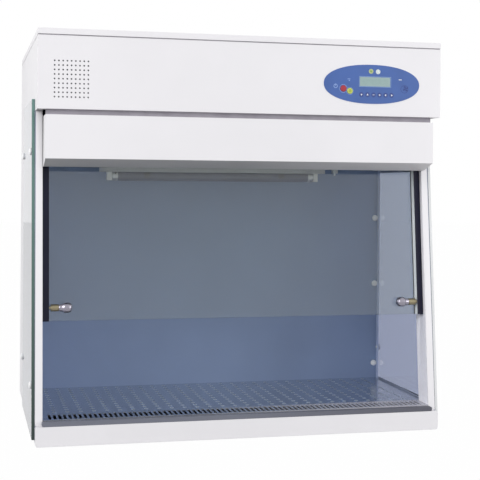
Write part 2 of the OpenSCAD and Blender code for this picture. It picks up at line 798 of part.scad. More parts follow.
module fan_impeller() color("dimgray") in_frame() translate([0, fan_y, fan_z]) rotate([0, 90, 0]) {
    // Blades in a ring, the middle plate and the end rings
    translate([0, 0, -impeller_w / 2]) linear_extrude(impeller_w) intersection() {
        for (i = [0:blade_count - 1]) rotate(i * 360 / blade_count)
            translate([impeller_d / 2 - 14.5, -6]) blade_section();
        circle(d = impeller_d - 0.6, $fn = 96);
    }
    for (z = [-impeller_w / 2, impeller_w / 2 - 2]) translate([0, 0, z]) linear_extrude(2) difference() {
        circle(d = impeller_d, $fn = 96);
        circle(d = impeller_d - 26, $fn = 96);
    }
    difference() {
        union() {
            translate([0, 0, -1]) cylinder(d = impeller_d - 2, h = 2, $fn = 96);
            translate([0, 0, -14]) cylinder(d = hub_d, h = 28);
        }
        translate([0, 0, -30]) cylinder(d = shaft_d + 2 * slide_fit, h = 60);
    }
}

motor_x0 = fan_w / 2 + 24;

module fan_shaft() color(steel) in_frame() translate([-22, fan_y, fan_z]) rotate([0, 90, 0])
    cylinder(d = shaft_d, h = motor_x0 + motor_len - 4 + 22);

module fan_motor() color("gray") in_frame() translate([motor_x0, fan_y, fan_z]) rotate([0, 90, 0])
    difference() {
        union() {
            cylinder(d = motor_d - 10, h = motor_len);
            translate([0, 0, 6]) cylinder(d = motor_d, h = motor_len - 12);
            translate([0, 0, -6]) cylinder(d = 28, h = 8);
            // Cooling fins, clear of the foot
            for (a = [50:20:310]) rotate(a) translate([motor_d / 2 - 2, -1, 15]) cube([5, 2, motor_len - 30]);
            // Foot
            translate([0, -22, 12]) cube([fan_z - shelf_z - shelf_t, 44, motor_len - 24]);
        }
        translate([0, 0, -8]) cylinder(d = shaft_d + 2 * shaft_clear, h = motor_len + 5);
    }

shelf_lip = 20;
shelf_rim = 36;
shelf_window = 150;

module fan_shelf() color("lightgray") in_frame() difference() {
    union() {
        wide_block(inner_w - fit, side_glass_rear + fit, rear_inner_y - sheet_t - fit,
            shelf_z, shelf_z + shelf_t);
        both_sides() block([inner_w - fit - shelf_t, side_glass_rear + fit, shelf_z - shelf_lip],
            [inner_w - fit, rear_inner_y - sheet_t - fit, shelf_z]);
    }
    // Air openings beside and under the fan
    both_sides() block([inner_w - shelf_rim - shelf_window, side_glass_rear + shelf_rim, shelf_z - 1],
        [inner_w - shelf_rim, rear_inner_y - shelf_rim, shelf_z + shelf_t + 1]);
    wide_block(fan_w / 2 - 16, fan_y - 40, fan_y + 40, shelf_z - 1, shelf_z + shelf_t + 1);
}

prefilter_half = louvre_len / 2 + 22;
prefilter_z0 = louvre_z0 - 20;
prefilter_z1 = louvre_z0 + louvre_count * louvre_pitch + 12;
prefilter_d = 20;

module prefilter_frame() color(steel) in_frame() difference() {
    wide_block(prefilter_half, rear_inner_y - prefilter_d, rear_inner_y, prefilter_z0, prefilter_z1);
    wide_block(prefilter_half - 1.2, rear_inner_y - prefilter_d + 1.2, rear_inner_y + 1,
        prefilter_z0 + 1.2, prefilter_z1 - 1.2);
    wide_block(prefilter_half - 14, rear_inner_y - prefilter_d - 1, rear_inner_y,
        prefilter_z0 + 14, prefilter_z1 - 14);
}

module prefilter_mat() color("lightcyan") in_frame() wide_block(prefilter_half - 1.2 - fit,
    rear_inner_y - prefilter_d + 1.2 + fit, rear_inner_y - fit,
    prefilter_z0 + 1.2 + fit, prefilter_z1 - 1.2 - fit);

// ---- Lighting ----

reflector_half = tube_len / 2 + 23.5;
reflector_w = 40;
reflector_t = 1.2;
reflector_lip = 10;
tab_w = 16;
tab_x = reflector_half - 42;

module lamp_reflector() color(painted) in_frame() {
    wide_block(reflector_half, tube_y - reflector_w / 2, tube_y + reflector_w / 2,
        ceiling_z - reflector_t, ceiling_z);
    for (y = [tube_y - reflector_w / 2, tube_y + reflector_w / 2 - reflector_t])
        wide_block(reflector_half, y, y + reflector_t,
            ceiling_z - reflector_lip, ceiling_z - reflector_t + eps);
    // Hanger tabs up to the solid rear edge of the ceiling frame
    both_sides() block([tab_x, tube_y, ceiling_z - reflector_t], [tab_x + tab_w, wall_front - 3, ceiling_z]);
}

module light_tube() color("ghostwhite") in_frame() translate([0, tube_y, tube_z]) rotate([0, 90, 0]) {
    translate([0, 0, -tube_len / 2 + tube_cap]) cylinder(d = tube_d - 0.6, h = tube_len - 2 * tube_cap);
    for (z = [-tube_len / 2, tube_len / 2 - tube_cap]) translate([0, 0, z]) cylinder(d = tube_d, h = tube_cap);
    for (s = [-1, 1], y = [-3, 3]) translate([0, y, s * (tube_len / 2 + 3) - 3])
        cylinder(d = 2.4, h = 6, $fn = 16);
}

module lamp_holders() color("white") in_frame() both_sides() difference() {
    block([tube_len / 2 + fit, tube_y - 10, tube_z - 12],
        [tube_len / 2 + fit + holder_t, tube_y + 10, ceiling_z - reflector_t]);
    for (y = [-3, 3]) translate([tube_len / 2, tube_y + y, tube_z]) rotate([0, 90, 0])
        cylinder(d = 3, h = 7.5, $fn = 16);
}

clip_x = tube_len / 3;

module lamp_clips() color(steel) in_frame() for (x = [-clip_x, clip_x]) translate([x, tube_y, tube_z]) {
    along_x(-6, 6) difference() {
        circle(r = tube_d / 2 + 1.2);
        circle(r = tube_d / 2 + 0.3);
        translate([-30, -30 - tube_d * 0.22]) square([60, 30]);
        translate([-tube_d / 2, tube_d * 0.25]) square([tube_d, 30]);
    }
    for (y = [-tube_d / 2 - 0.6, tube_d / 2 - 0.4])
        block([-6, y, 3.5], [6, y + 1, ceiling_z - reflector_t - tube_z]);
    block([-6, -tube_d / 2 - 0.6, ceiling_z - reflector_t - 1 - tube_z],
        [6, tube_d / 2 + 0.6, ceiling_z - reflector_t - tube_z]);
}

sensor_x = reflector_half + 28.5;
sensor_w = 11;
sensor_h = 9;
sensor_tip_d = 4;

module airflow_sensor() color("white") in_frame() {
    block([sensor_x - sensor_w / 2, tube_y - sensor_w / 2, ceiling_z - sensor_h],
        [sensor_x + sensor_w / 2, tube_y + sensor_w / 2, ceiling_z + sheet_t]);
    translate([sensor_x, tube_y, ceiling_z - sensor_h - sensor_tip_d])
        cylinder(d = sensor_tip_d, h = sensor_tip_d + eps);
}

ballast_len = 160;
ballast_w = 40;
ballast_h = 28;
ballast_ear = 12;
ballast_at = [ballast_ear - filter_half * 0.7, filter_y0 + 45];

module ballast() color("gray") in_frame() translate([ballast_at.x, ballast_at.y, plenum_top]) {
    cube([ballast_len, ballast_w, ballast_h]);
    for (x = [-ballast_ear, ballast_len]) translate([x, ballast_w / 5, 0])
        cube([ballast_ear, ballast_w * 0.6, 2]);
}

// ---- Controls ----

// Outline of the oval panel, slightly fuller than an ellipse
function oval_pt(a, w, h) = [
    w / 2 * sign(cos(a)) * pow(abs(cos(a)), 0.92), h / 2 * sign(sin(a)) * pow(abs(sin(a)), 0.92)
];

module control_panel() color("royalblue") in_frame() along_y(face_y - panel_t, face_y) difference() {
    translate([panel_x, panel_z]) polygon([for (a = [0:5:355]) oval_pt(a, panel_w, panel_h)]);
    panel_openings(lens_d);
}

module display_window() color("lightgreen") in_frame()
    translate([panel_x + display_at.x, 0, panel_z + display_at.y])
        block([-display_w / 2, face_y - panel_t + 0.1, -display_h / 2],
            [display_w / 2, face_y + sheet_t, display_h / 2]);

module indicator_lenses() color("lightyellow") in_frame() for (p = lens_at)
    translate([panel_x + p.x, face_y - panel_t - 0.4, panel_z + p.y]) rotate([-90, 0, 0])
        cylinder(d = lens_d, h = board_y - face_y + panel_t + 0.4);

module key(at, d) in_frame() translate([panel_x + at.x, 0, panel_z + at.y]) rotate([-90, 0, 0]) {
    translate([0, 0, face_y - panel_t - 1]) cylinder(d1 = d - 1, d2 = d, h = 0.5 + eps);
    translate([0, 0, face_y - panel_t - 0.5]) cylinder(d = d, h = panel_t + sheet_t + 0.5 + 1.2);
    translate([0, 0, face_y + sheet_t + 0.6]) cylinder(d = d + 2, h = 1);
    translate([0, 0, face_y + sheet_t + 1])
        cylinder(d = 4, h = board_y - switch_h - key_travel - 0.3 - face_y - sheet_t - 1);
}

module key_red() color("crimson") key(red_at, red_d);
module key_yellow() color("gold") key(yellow_at, yellow_d);

module control_board() color("seagreen") in_frame() {
    block([panel_x - board_w / 2, board_y, panel_z - board_h / 2],
        [panel_x + board_w / 2, board_y + board_t, panel_z + board_h / 2]);
    // Standoffs to the fascia
    for (x = [-1, 1], z = [-1, 1])
        translate([panel_x + x * (board_w / 2 - standoff_d), face_y + sheet_t,
            panel_z + z * (board_h / 2 - standoff_d)])
            rotate([-90, 0, 0]) cylinder(d = standoff_d, h = board_y - face_y - sheet_t + eps);
    // Switch bodies behind the keys
    for (at = [red_at, yellow_at])
        translate([panel_x + at.x - switch_w / 2, board_y - switch_h, panel_z + at.y - switch_w / 2])
            cube([switch_w, switch_h + eps, switch_w]);
}

module display_module() color("darkgreen") in_frame()
    translate([panel_x + display_at.x, 0, panel_z + display_at.y])
        block([-display_w / 2 - 6, face_y + sheet_t, -display_h / 2 - 3],
            [display_w / 2 + 6, board_y, display_h / 2 + 3]);

module power_inlet() color("black") in_frame() {
    difference() {
        union() {
            along_y(rear_face_y, rear_face_y + 2) translate([inlet_x - inlet_w / 2, inlet_z - inlet_h / 2])
                round_rect([inlet_w, inlet_h], 4);
            block([inlet_x - 14.5, rear_face_y - 24, inlet_z - 11.5],
                [inlet_x + 14.5, rear_face_y + eps, inlet_z + 11.5]);
        }
        block([inlet_x - 12, rear_face_y - 16, inlet_z - 8.5], [inlet_x + 12, rear_face_y + 3, inlet_z + 8.5]);
    }
    for (p = [[-7, -2], [0, 2], [7, -2]]) block([inlet_x + p.x - 1, rear_face_y - 16 - eps, inlet_z + p.y - 2],
        [inlet_x + p.x + 1, rear_face_y - 6, inlet_z + p.y + 2]);
}

// ---- Sash and its plungers ----

module sash_glass() color(tinted, 0.4) in_frame() on_sash()
    block([-sash_glass_half, edge_gap + glass_set, 0.5],
        [sash_glass_half, edge_gap + glass_set + glass_t, sash_len]);

// U-shaped profile round the glass's edge with a deeper lip in front for the plunger
module sash_edge() color(dark) in_frame() on_sash() difference() {
    block([plunger_x0, edge_gap, 0], [sash_half, edge_gap + edge_d, sash_len]);
    block([plunger_x0 - 1, edge_gap + glass_set - fit, -1],
        [sash_glass_half + fit, edge_gap + glass_set + glass_t + fit, sash_len + 1]);
    // Hollow of the front chamber above the plunger
    block([plunger_x0 + 1.5, edge_gap + 1.5, plunger_up + 14],
        [sash_half - 1.5, edge_gap + glass_set - 1.7, sash_len + 1]);
    translate([plunger_x0 - 1, plunger_y, plunger_up]) rotate([0, 90, 0])
        cylinder(d = neck_d + 2 * slide_fit, h = edge_w + 2);
}

module sash_edge_right() sash_edge();
module sash_edge_left() left_side() sash_edge();

module sash_guides() color("ivory") in_frame() on_sash() both_sides() for (u = guide_ups)
    block([sash_half, edge_gap + guide_y - guide_w / 2, u - guide_half],
        [sash_half + sash_side_gap + 5, edge_gap + guide_y + guide_w / 2, u + guide_half]);

neck_d = 6.2;
collar_d = 7.4;
chamber_d_in = 8;
end_wall = 1.5;

// Plunger parts are drawn with their axis along +Z, pointing outwards, z = 0 at the profile's side
module on_plunger() in_frame() on_sash() translate([plunger_x0, plunger_y, plunger_up]) rotate([0, 90, 0]) children();

// The bush screws into the profile and shows inwards of it
module plunger_bush() color("goldenrod") on_plunger() rotate_extrude() polygon([
    [pin_d / 2 + slide_fit, edge_w - 2], [neck_d / 2, edge_w - 2], [neck_d / 2, -bush_neck],
    [bush_d / 2 - 0.6, -bush_neck], [bush_d / 2, -bush_neck - 0.6],
    [bush_d / 2, -bush_neck - bush_len + 0.6], [bush_d / 2 - 0.6, -bush_neck - bush_len],
    [pin_d / 2 - 0.8 + slide_fit, -bush_neck - bush_len],
    [pin_d / 2 - 0.8 + slide_fit, -bush_neck - bush_len + end_wall],
    [chamber_d_in / 2, -bush_neck - bush_len + end_wall],
    [chamber_d_in / 2, -bush_neck - 1.5], [pin_d / 2 + slide_fit, -bush_neck - 1.5]
]);

module plunger_bush_right() plunger_bush();
module plunger_bush_left() left_side() plunger_bush();

pin_tip = edge_w + sash_side_gap - 0.1;
collar_z = -bush_neck - 1.5 - 0.1;
knob_z = -bush_neck - bush_len - 0.3;

module plunger_pin() color(steel) on_plunger() rotate_extrude() polygon([
    [0, pin_tip], [pin_d / 2 - 0.7, pin_tip], [pin_d / 2, pin_tip - 0.7],
    [pin_d / 2, collar_z], [collar_d / 2, collar_z], [collar_d / 2, collar_z - 1.5],
    [pin_d / 2 - 0.8, collar_z - 1.5], [pin_d / 2 - 0.8, knob_z - 14], [0, knob_z - 14]
]);

module plunger_pin_right() plunger_pin();
module plunger_pin_left() left_side() plunger_pin();

// Turned knob with a waist, a rounded head and a blind bore for the pin
module plunger_knob() color("lightgray") on_plunger() rotate_extrude() polygon(concat(
    [
        [0, knob_z - 14.1], [pin_d / 2 - 0.7, knob_z - 14.1], [pin_d / 2 - 0.7, knob_z],
        [knob_d / 2 - 3.6, knob_z], [knob_d / 2 - 3, knob_z - 1.2], [knob_d / 2 - 2.6, knob_z - 6],
        [knob_d / 2, knob_z - 10]
    ],
    [for (a = [0:10:90]) [knob_d / 2 * cos(a), knob_z - knob_len + 7 - 7 * sin(a)]]
));

module plunger_knob_right() plunger_knob();
module plunger_knob_left() left_side() plunger_knob();

spring_wire = 0.8;
spring_turns = 4;
spring_steps = 14;
spring_sides = 6;
spring_z0 = -bush_neck - bush_len + end_wall + spring_wire / 2 + 0.1;
spring_z1 = collar_z - 1.5 - spring_wire / 2 - 0.1;
spring_r = (chamber_d_in / 2 + pin_d / 2 - 0.8) / 2;
spring_rings = spring_turns * spring_steps;

// Point j of the wire's section at step i of the coil
function spring_pt(i, j) = let (
    a = 360 * i / spring_steps, b = 360 * j / spring_sides, r = spring_r + spring_wire / 2 * cos(b)
) [r * cos(a), r * sin(a), spring_z0 + (spring_z1 - spring_z0) * i / spring_rings + spring_wire / 2 * sin(b)];

// Coil spring between the collar and the end wall
module plunger_spring() color("gray") on_plunger() polyhedron(
    [for (i = [0:spring_rings], j = [0:spring_sides - 1]) spring_pt(i, j)],
    concat(
        [[for (j = [0:spring_sides - 1]) j]],
        [for (i = [0:spring_rings - 1], j = [0:spring_sides - 1]) let (k = (j + 1) % spring_sides)
            [i * spring_sides + j, (i + 1) * spring_sides + j,
                (i + 1) * spring_sides + k, i * spring_sides + k]],
        [[for (j = [spring_sides - 1:-1:0]) spring_rings * spring_sides + j]]
    )
);

module plunger_spring_right() plunger_spring();
module plunger_spring_left() left_side() plunger_spring();

base_pan();
feet();
front_rail();
sill_strip();
side_frame_left();
side_frame_right();
side_glass_left();
side_glass_right();
glass_caps();
back_wall();
wall_caps();
worktop();
spill_tray();
outer_shell();
rear_panel();
panel_screws();
lid();
lid_seal();
hood_panel();
hood_spacer();
ceiling_frame();
ceiling_grille();
filter_frame();
filter_media();
filter_gasket();
plenum_box();
fan_shelf();
fan_housing();
fan_motor();
prefilter_frame();
prefilter_mat();
lamp_reflector();
light_tube();
lamp_holders();
lamp_clips();
airflow_sensor();
ballast();
control_board();
display_module();
control_panel();
display_window();
indicator_lenses();
power_inlet();
fan_impeller();
fan_shaft();
sash_glass();
sash_edge_left();
sash_edge_right();
sash_guides();
plunger_bush_left();
plunger_bush_right();
plunger_pin_left();
plunger_pin_right();
plunger_knob_left();
plunger_knob_right();
plunger_spring_left();
plunger_spring_right();
key_red();
key_yellow();
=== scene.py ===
"""Finishes, fine fittings, light and camera for the bench laminar flow hood.

Lengths in the calls are millimetres measured from the cabinet's front plane; at() moves them to
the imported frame, in metres. Every object sits at the origin with its place in its mesh.
"""

import json
import math

import bmesh
import bpy
from mathutils import Matrix, Vector


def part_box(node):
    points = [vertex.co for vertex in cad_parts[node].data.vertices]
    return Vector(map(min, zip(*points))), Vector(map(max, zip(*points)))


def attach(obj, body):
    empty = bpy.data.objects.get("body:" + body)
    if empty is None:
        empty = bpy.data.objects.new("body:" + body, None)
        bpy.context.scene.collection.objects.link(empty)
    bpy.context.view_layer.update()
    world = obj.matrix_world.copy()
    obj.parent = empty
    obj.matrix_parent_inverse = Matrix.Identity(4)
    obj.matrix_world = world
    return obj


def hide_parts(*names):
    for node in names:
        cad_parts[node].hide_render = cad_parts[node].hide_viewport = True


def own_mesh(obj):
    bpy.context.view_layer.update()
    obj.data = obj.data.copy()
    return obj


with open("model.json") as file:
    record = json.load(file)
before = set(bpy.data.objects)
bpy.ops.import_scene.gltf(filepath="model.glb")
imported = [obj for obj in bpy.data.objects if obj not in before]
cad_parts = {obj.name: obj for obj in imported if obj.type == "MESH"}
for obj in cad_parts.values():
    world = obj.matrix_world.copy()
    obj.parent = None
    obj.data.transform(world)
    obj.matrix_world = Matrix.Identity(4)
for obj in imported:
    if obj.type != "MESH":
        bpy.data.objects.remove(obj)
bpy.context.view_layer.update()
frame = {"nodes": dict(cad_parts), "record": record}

NODES = frame["nodes"]
SLOT_OF = {part["node"]: part["material_slot"] for part in frame["record"]["subparts"]}
BODY_OF = {
    node: body
    for body, nodes in frame["record"]["behaviour"]["bodies"].items()
    for node in nodes
}

# The cabinet's own sizes in millimetres: its depth, the lean and foot of its front posts, the top
# of its worktop, and the depths where the worktop's holes and the side sheets' painted-light rear
# strips start.
CABINET_DEPTH = 576
LEAN = math.radians(5.7)
POST_FOOT_Y, RAIL_TOP = 15, 38
DECK_TOP = 48
DECK_FIELD_Y = 70
REAR_STRIP_Y = 327


def at(x, y, z):
    """A point given in millimetres from the front plane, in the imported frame."""
    return Vector((x, y - CABINET_DEPTH / 2, z)) / 1000


def lean_y(z):
    """The depth of the front posts at a height, in millimetres."""
    return POST_FOOT_Y + (z - RAIL_TOP) * math.tan(LEAN)


# ---- Finishes ----


def finish(name, colour, rough, metal=0.0, **sockets):
    """A Principled finish with its constant values set on the shader's own sockets."""
    mat = bpy.data.materials.new(name)
    mat.use_nodes = True
    shader = mat.node_tree.nodes["Principled BSDF"]
    shader.inputs["Base Color"].default_value = (*colour, 1)
    shader.inputs["Roughness"].default_value = rough
    shader.inputs["Metallic"].default_value = metal
    for socket, value in sockets.items():
        shader.inputs[socket.replace("_", " ")].default_value = value
    return mat


def node_of(mat, kind, **inputs):
    """A node in the material's or the world's tree, with its constant inputs."""
    made = mat.node_tree.nodes.new(kind)
    for socket, value in inputs.items():
        made.inputs[socket.replace("_", " ")].default_value = value
    return made


def join(mat, source, output, target, socket):
    mat.node_tree.links.new(source.outputs[output], target.inputs[socket])


def axes_of(mat):
    """The piece's own X, Y and Z, in metres."""
    place = node_of(mat, "ShaderNodeTexCoord")
    axes = node_of(mat, "ShaderNodeSeparateXYZ")
    join(mat, place, "Object", axes, "Vector")
    return axes


def math_of(mat, operation, second=None):
    """A maths node, with its second value where that is fixed."""
    made = node_of(mat, "ShaderNodeMath")
    made.operation = operation
    if second is not None:
        made.inputs[1].default_value = second
    return made


def noise(mat, scale, stretch=(1, 1, 1), detail=2.0, rough=0.5):
    """Noise on the piece's own metres; stretch above 1 packs it more tightly along that axis."""
    place = node_of(mat, "ShaderNodeTexCoord")
    turn = node_of(mat, "ShaderNodeMapping", Scale=stretch)
    field = node_of(mat, "ShaderNodeTexNoise", Scale=scale, Detail=detail, Roughness=rough)
    join(mat, place, "Object", turn, "Vector")
    join(mat, turn, "Vector", field, "Vector")
    return field


def relief(mat, field, height, strength):
    """Surface relief of the given height in metres."""
    bump = node_of(mat, "ShaderNodeBump", Strength=strength, Distance=height)
    join(mat, field, "Fac", bump, "Height")
    join(mat, bump, "Normal", mat.node_tree.nodes["Principled BSDF"], "Normal")


def between(mat, field, low, high, socket, lo=0.3, hi=0.7, output="Fac"):
    """Drives a shader value or colour from low to high as the field goes from lo to hi."""
    shader = mat.node_tree.nodes["Principled BSDF"]
    if isinstance(low, tuple):
        ramp = node_of(mat, "ShaderNodeValToRGB")
        first, last = ramp.color_ramp.elements
        first.position, last.position = lo, hi
        first.color, last.color = (*low, 1), (*high, 1)
        join(mat, field, output, ramp, "Fac")
        join(mat, ramp, "Color", shader, socket)
        return
    span = node_of(mat, "ShaderNodeMapRange", From_Min=lo, From_Max=hi, To_Min=low, To_Max=high)
    join(mat, field, output, span, "Value")
    join(mat, span, "Result", shader, socket)


def shade(colour, share):
    return tuple(c * share for c in colour)


def mottle(mat, field, colour, low, high):
    """Lets the finish's colour wander between two shares of itself."""
    between(mat, field, shade(colour, low), shade(colour, high), "Base Color")


def powder_coat():
    """White polyester powder coat with a fine orange peel."""
    white = (0.80, 0.785, 0.805)
    mat = finish("powder_coat", white, 0.42)
    relief(mat, noise(mat, 900, detail=3), 0.00006, 0.5)
    mottle(mat, noise(mat, 9), white, 0.985, 1.01)
    between(mat, noise(mat, 30), 0.38, 0.46, "Roughness")
    return mat


def back_paint():
    """Blue-grey satin paint of the chamber's back wall."""
    blue = (0.228, 0.300, 0.470)
    mat = finish("back_paint", blue, 0.42)
    relief(mat, noise(mat, 1100, detail=3), 0.00002, 0.3)
    mottle(mat, noise(mat, 7), blue, 0.96, 1.04)
    between(mat, noise(mat, 24), 0.32, 0.42, "Roughness")
    return mat


def side_paint_and_painted_light():
    """The same satin paint, a tone lighter, inside the side sheets; their rear strips are painted
    much paler as painted light.
    """
    blue = (0.245, 0.275, 0.365)
    mat = finish("side_paint_and_painted_light", blue, 0.40)
    relief(mat, noise(mat, 1100, detail=3), 0.00002, 0.3)
    # Painted light: the rear strips are painted 2.45 times as bright, for the light falling on
    # them.
    front, rear = (at(0, REAR_STRIP_Y + step, 0).y for step in (-3, 3))
    between(mat, axes_of(mat), blue, shade(blue, 2.45), "Base Color", front, rear, "Y")
    between(mat, noise(mat, 24), 0.36, 0.44, "Roughness")
    return mat


def steel_sheet():
    """Ground stainless sheet with a fine grain along the width."""
    steel = (0.56, 0.57, 0.58)
    mat = finish("steel_sheet", steel, 0.16, 1.0)
    relief(mat, noise(mat, 40, (1, 60, 60), detail=4), 0.00001, 0.35)
    between(mat, noise(mat, 12, (1, 8, 8)), 0.15, 0.26, "Roughness")
    mottle(mat, noise(mat, 5), steel, 0.94, 1.05)
    return mat


def deck_steel():
    """Ground worktop sheet; its front strip turns duller and paler towards the right, partly a
    duller strip and partly painted light where more light falls.
    """
    steel = (0.62, 0.64, 0.67)
    mat = finish("deck_steel", steel, 0.16, 1.0)
    relief(mat, noise(mat, 40, (1, 60, 60), detail=4), 0.00001, 0.35)
    between(mat, noise(mat, 12, (1, 8, 8)), 0.15, 0.26, "Roughness")
    # Painted light: the mask is strongest at the right of the front strip, where more light falls;
    # there the steel turns to a paler, duller grey.
    rear, front = (at(0, DECK_FIELD_Y + step, 0).y for step in (4, -4))
    axes = axes_of(mat)
    along = node_of(mat, "ShaderNodeMapRange", From_Min=-0.10, From_Max=0.30)
    across = node_of(mat, "ShaderNodeMapRange", From_Min=rear, From_Max=front)
    pale = math_of(mat, "MULTIPLY")
    join(mat, axes, "X", along, "Value")
    join(mat, axes, "Y", across, "Value")
    join(mat, along, "Result", pale, 0)
    join(mat, across, "Result", pale, 1)
    between(mat, pale, steel, (0.50, 0.49, 0.54), "Base Color", 0, 1, "Value")
    between(mat, pale, 1.0, 0.15, "Metallic", 0, 1, "Value")
    return mat


def clip_steel():
    """Blued spring steel of the lamp clips."""
    steel = (0.090, 0.092, 0.115)
    mat = finish("clip_steel", steel, 0.42, 0.6)
    relief(mat, noise(mat, 900), 0.00002, 0.3)
    mottle(mat, noise(mat, 90), steel, 0.85, 1.15)
    return mat


def return_painted_shade():
    """Powder coat on the hood's folded returns, with painted shade: dark on the left half, growing
    paler to the right.
    """
    mat = finish("return_painted_shade", (0.6, 0.6, 0.6), 0.46)
    shaded_end, lit_end = (0.50, 0.495, 0.505), (0.88, 0.86, 0.88)
    # Painted shade under the hood: dark on the left half, growing paler towards the right.
    between(mat, axes_of(mat), shaded_end, lit_end, "Base Color", 0, 0.36, "X")
    relief(mat, noise(mat, 900, detail=3), 0.00006, 0.5)
    return mat


def zinc_steel():
    """Zinc-plated sheet with a faint spangle."""
    zinc = (0.56, 0.57, 0.58)
    mat = finish("zinc_steel", zinc, 0.34, 1.0)
    place = node_of(mat, "ShaderNodeTexCoord")
    spangle = node_of(mat, "ShaderNodeTexVoronoi", Scale=180)
    join(mat, place, "Object", spangle, "Vector")
    between(mat, spangle, shade(zinc, 0.86), shade(zinc, 1.08), "Base Color", 0, 1, "Distance")
    between(mat, noise(mat, 60), 0.28, 0.42, "Roughness")
    return mat


def tinted_glass():
    """Blue-grey toughened glass."""
    tint = (0.365, 0.400, 0.530)
    mat = finish("tinted_glass", tint, 0.0, IOR=1.5, Transmission_Weight=1.0)
    mottle(mat, noise(mat, 2), tint, 0.99, 1.01)
    return mat


def clear_glass():
    """Clear toughened glass of the sash."""
    clear = (0.775, 0.81, 0.785)
    mat = finish("clear_glass", clear, 0.0, IOR=1.5, Transmission_Weight=1.0)
    mottle(mat, noise(mat, 2), clear, 0.995, 1.0)
    return mat


def glass_edge():
    """Ground and polished edge of float glass, greener towards the top."""
    mat = finish("glass_edge", (0.060, 0.115, 0.105), 0.30, IOR=1.35)
    foot, top = (0.038, 0.056, 0.050), (0.140, 0.250, 0.225)
    between(mat, axes_of(mat), foot, top, "Base Color", 0.05, 0.60, "Z")
    relief(mat, noise(mat, 300, (1, 1, 0.05)), 0.00004, 0.3)
    return mat


def pale_edge():
    """Polished glass edge that carries the light of the room through the pane."""
    pale = (0.70, 0.715, 0.72)
    mat = finish("pale_edge", pale, 0.22, IOR=1.5)
    relief(mat, noise(mat, 300, (1, 1, 0.05)), 0.00004, 0.3)
    mottle(mat, noise(mat, 20, (1, 1, 0.3)), pale, 0.97, 1.03)
    return mat


def profile_painted_highlight():
    """The profile's polished inner side, near white with painted highlight for the light it
    catches.
    """
    painted_highlight = (0.90, 0.95, 0.96)
    mat = finish("profile_painted_highlight", painted_highlight, 0.35, 0.15)
    relief(mat, noise(mat, 700, (1, 1, 0.02)), 0.00002, 0.5)
    mottle(mat, noise(mat, 25, (1, 1, 0.2)), painted_highlight, 0.96, 1.04)
    return mat


def black_profile():
    """Black anodised aluminium extrusion with drawing lines along its length."""
    black = (0.008, 0.008, 0.024)
    mat = finish("black_profile", black, 0.40, Specular_IOR_Level=0.20)
    relief(mat, noise(mat, 700, (1, 1, 0.02)), 0.00002, 0.5)
    between(mat, noise(mat, 40, (1, 1, 0.2)), 0.30, 0.44, "Roughness")
    mottle(mat, noise(mat, 15), black, 0.85, 1.25)
    return mat


def black_rubber():
    """Dark sill and seal rubber."""
    dark = (0.055, 0.052, 0.058)
    mat = finish("black_rubber", dark, 0.62)
    relief(mat, noise(mat, 1500, detail=3), 0.00006, 0.5)
    mottle(mat, noise(mat, 22), dark, 0.85, 1.2)
    between(mat, noise(mat, 90), 0.55, 0.70, "Roughness")
    return mat


def sill_rubber_painted_light():
    """Sill rubber with a painted reflection making its left half pale and painted shade darkening
    it towards the right.
    """
    mat = finish("sill_rubber_painted_light", (0.11, 0.105, 0.115), 0.52)
    pale, dark = (0.150, 0.158, 0.195), (0.088, 0.088, 0.112)
    # Painted reflection on the left half, painted shade towards the right.
    between(mat, axes_of(mat), pale, dark, "Base Color", 0, 0.37, "X")
    relief(mat, noise(mat, 1500, detail=3), 0.00005, 0.4)
    between(mat, noise(mat, 90), 0.46, 0.60, "Roughness")
    return mat


def grey_foam():
    """Grey closed-cell foam strip; its grey also stands in for the shade in the gaps it fills, as
    painted shade.
    """
    grey = (0.345, 0.325, 0.365)
    mat = finish("grey_foam", grey, 0.85)
    relief(mat, noise(mat, 1800, detail=4), 0.00012, 0.7)
    mottle(mat, noise(mat, 40), grey, 0.9, 1.08)
    return mat


def felt():
    """Dark needled felt behind the vent holes."""
    grey = (0.11, 0.11, 0.12)
    mat = finish("felt", grey, 0.95, Sheen_Weight=0.4)
    relief(mat, noise(mat, 1600, detail=6, rough=0.8), 0.0004, 0.9)
    mottle(mat, noise(mat, 700, detail=5), grey, 0.7, 1.3)
    return mat


def satin(name, colour):
    """A plain satin finish for screen print, small mouldings, the painted light on the posts' inner
    returns and the painted highlight on the worktop's hole rims.
    """
    mat = finish(name, colour, 0.38)
    relief(mat, noise(mat, 2600), 0.00002, 0.3)
    mottle(mat, noise(mat, 150), colour, 0.95, 1.03)
    return mat


def white_cap():
    cap = (0.93, 0.93, 0.93)
    mat = finish("white_cap", cap, 0.30)
    relief(mat, noise(mat, 800), 0.00003, 0.3)
    mottle(mat, noise(mat, 120), cap, 0.97, 1.02)
    return mat


def filter_paper():
    paper = (0.78, 0.78, 0.75)
    mat = finish("filter_paper", paper, 0.92, Sheen_Weight=0.3)
    relief(mat, noise(mat, 600, detail=5, rough=0.7), 0.0003, 0.8)
    mottle(mat, noise(mat, 260, detail=4), paper, 0.82, 1.04)
    return mat


def filter_board():
    board = (0.50, 0.36, 0.21)
    mat = finish("filter_board", board, 0.78)
    relief(mat, noise(mat, 500, detail=5, rough=0.7), 0.0002, 0.7)
    mottle(mat, noise(mat, 160, detail=5), board, 0.72, 1.2)
    return mat


def cast_body():
    grey = (0.20, 0.21, 0.22)
    mat = finish("cast_body", grey, 0.5, 0.2)
    relief(mat, noise(mat, 420, detail=4), 0.00015, 0.6)
    mottle(mat, noise(mat, 40), grey, 0.85, 1.15)
    return mat


def moulded_black():
    black = (0.025, 0.025, 0.027)
    mat = finish("moulded_black", black, 0.45)
    relief(mat, noise(mat, 1300), 0.00005, 0.5)
    between(mat, noise(mat, 60), 0.38, 0.52, "Roughness")
    return mat


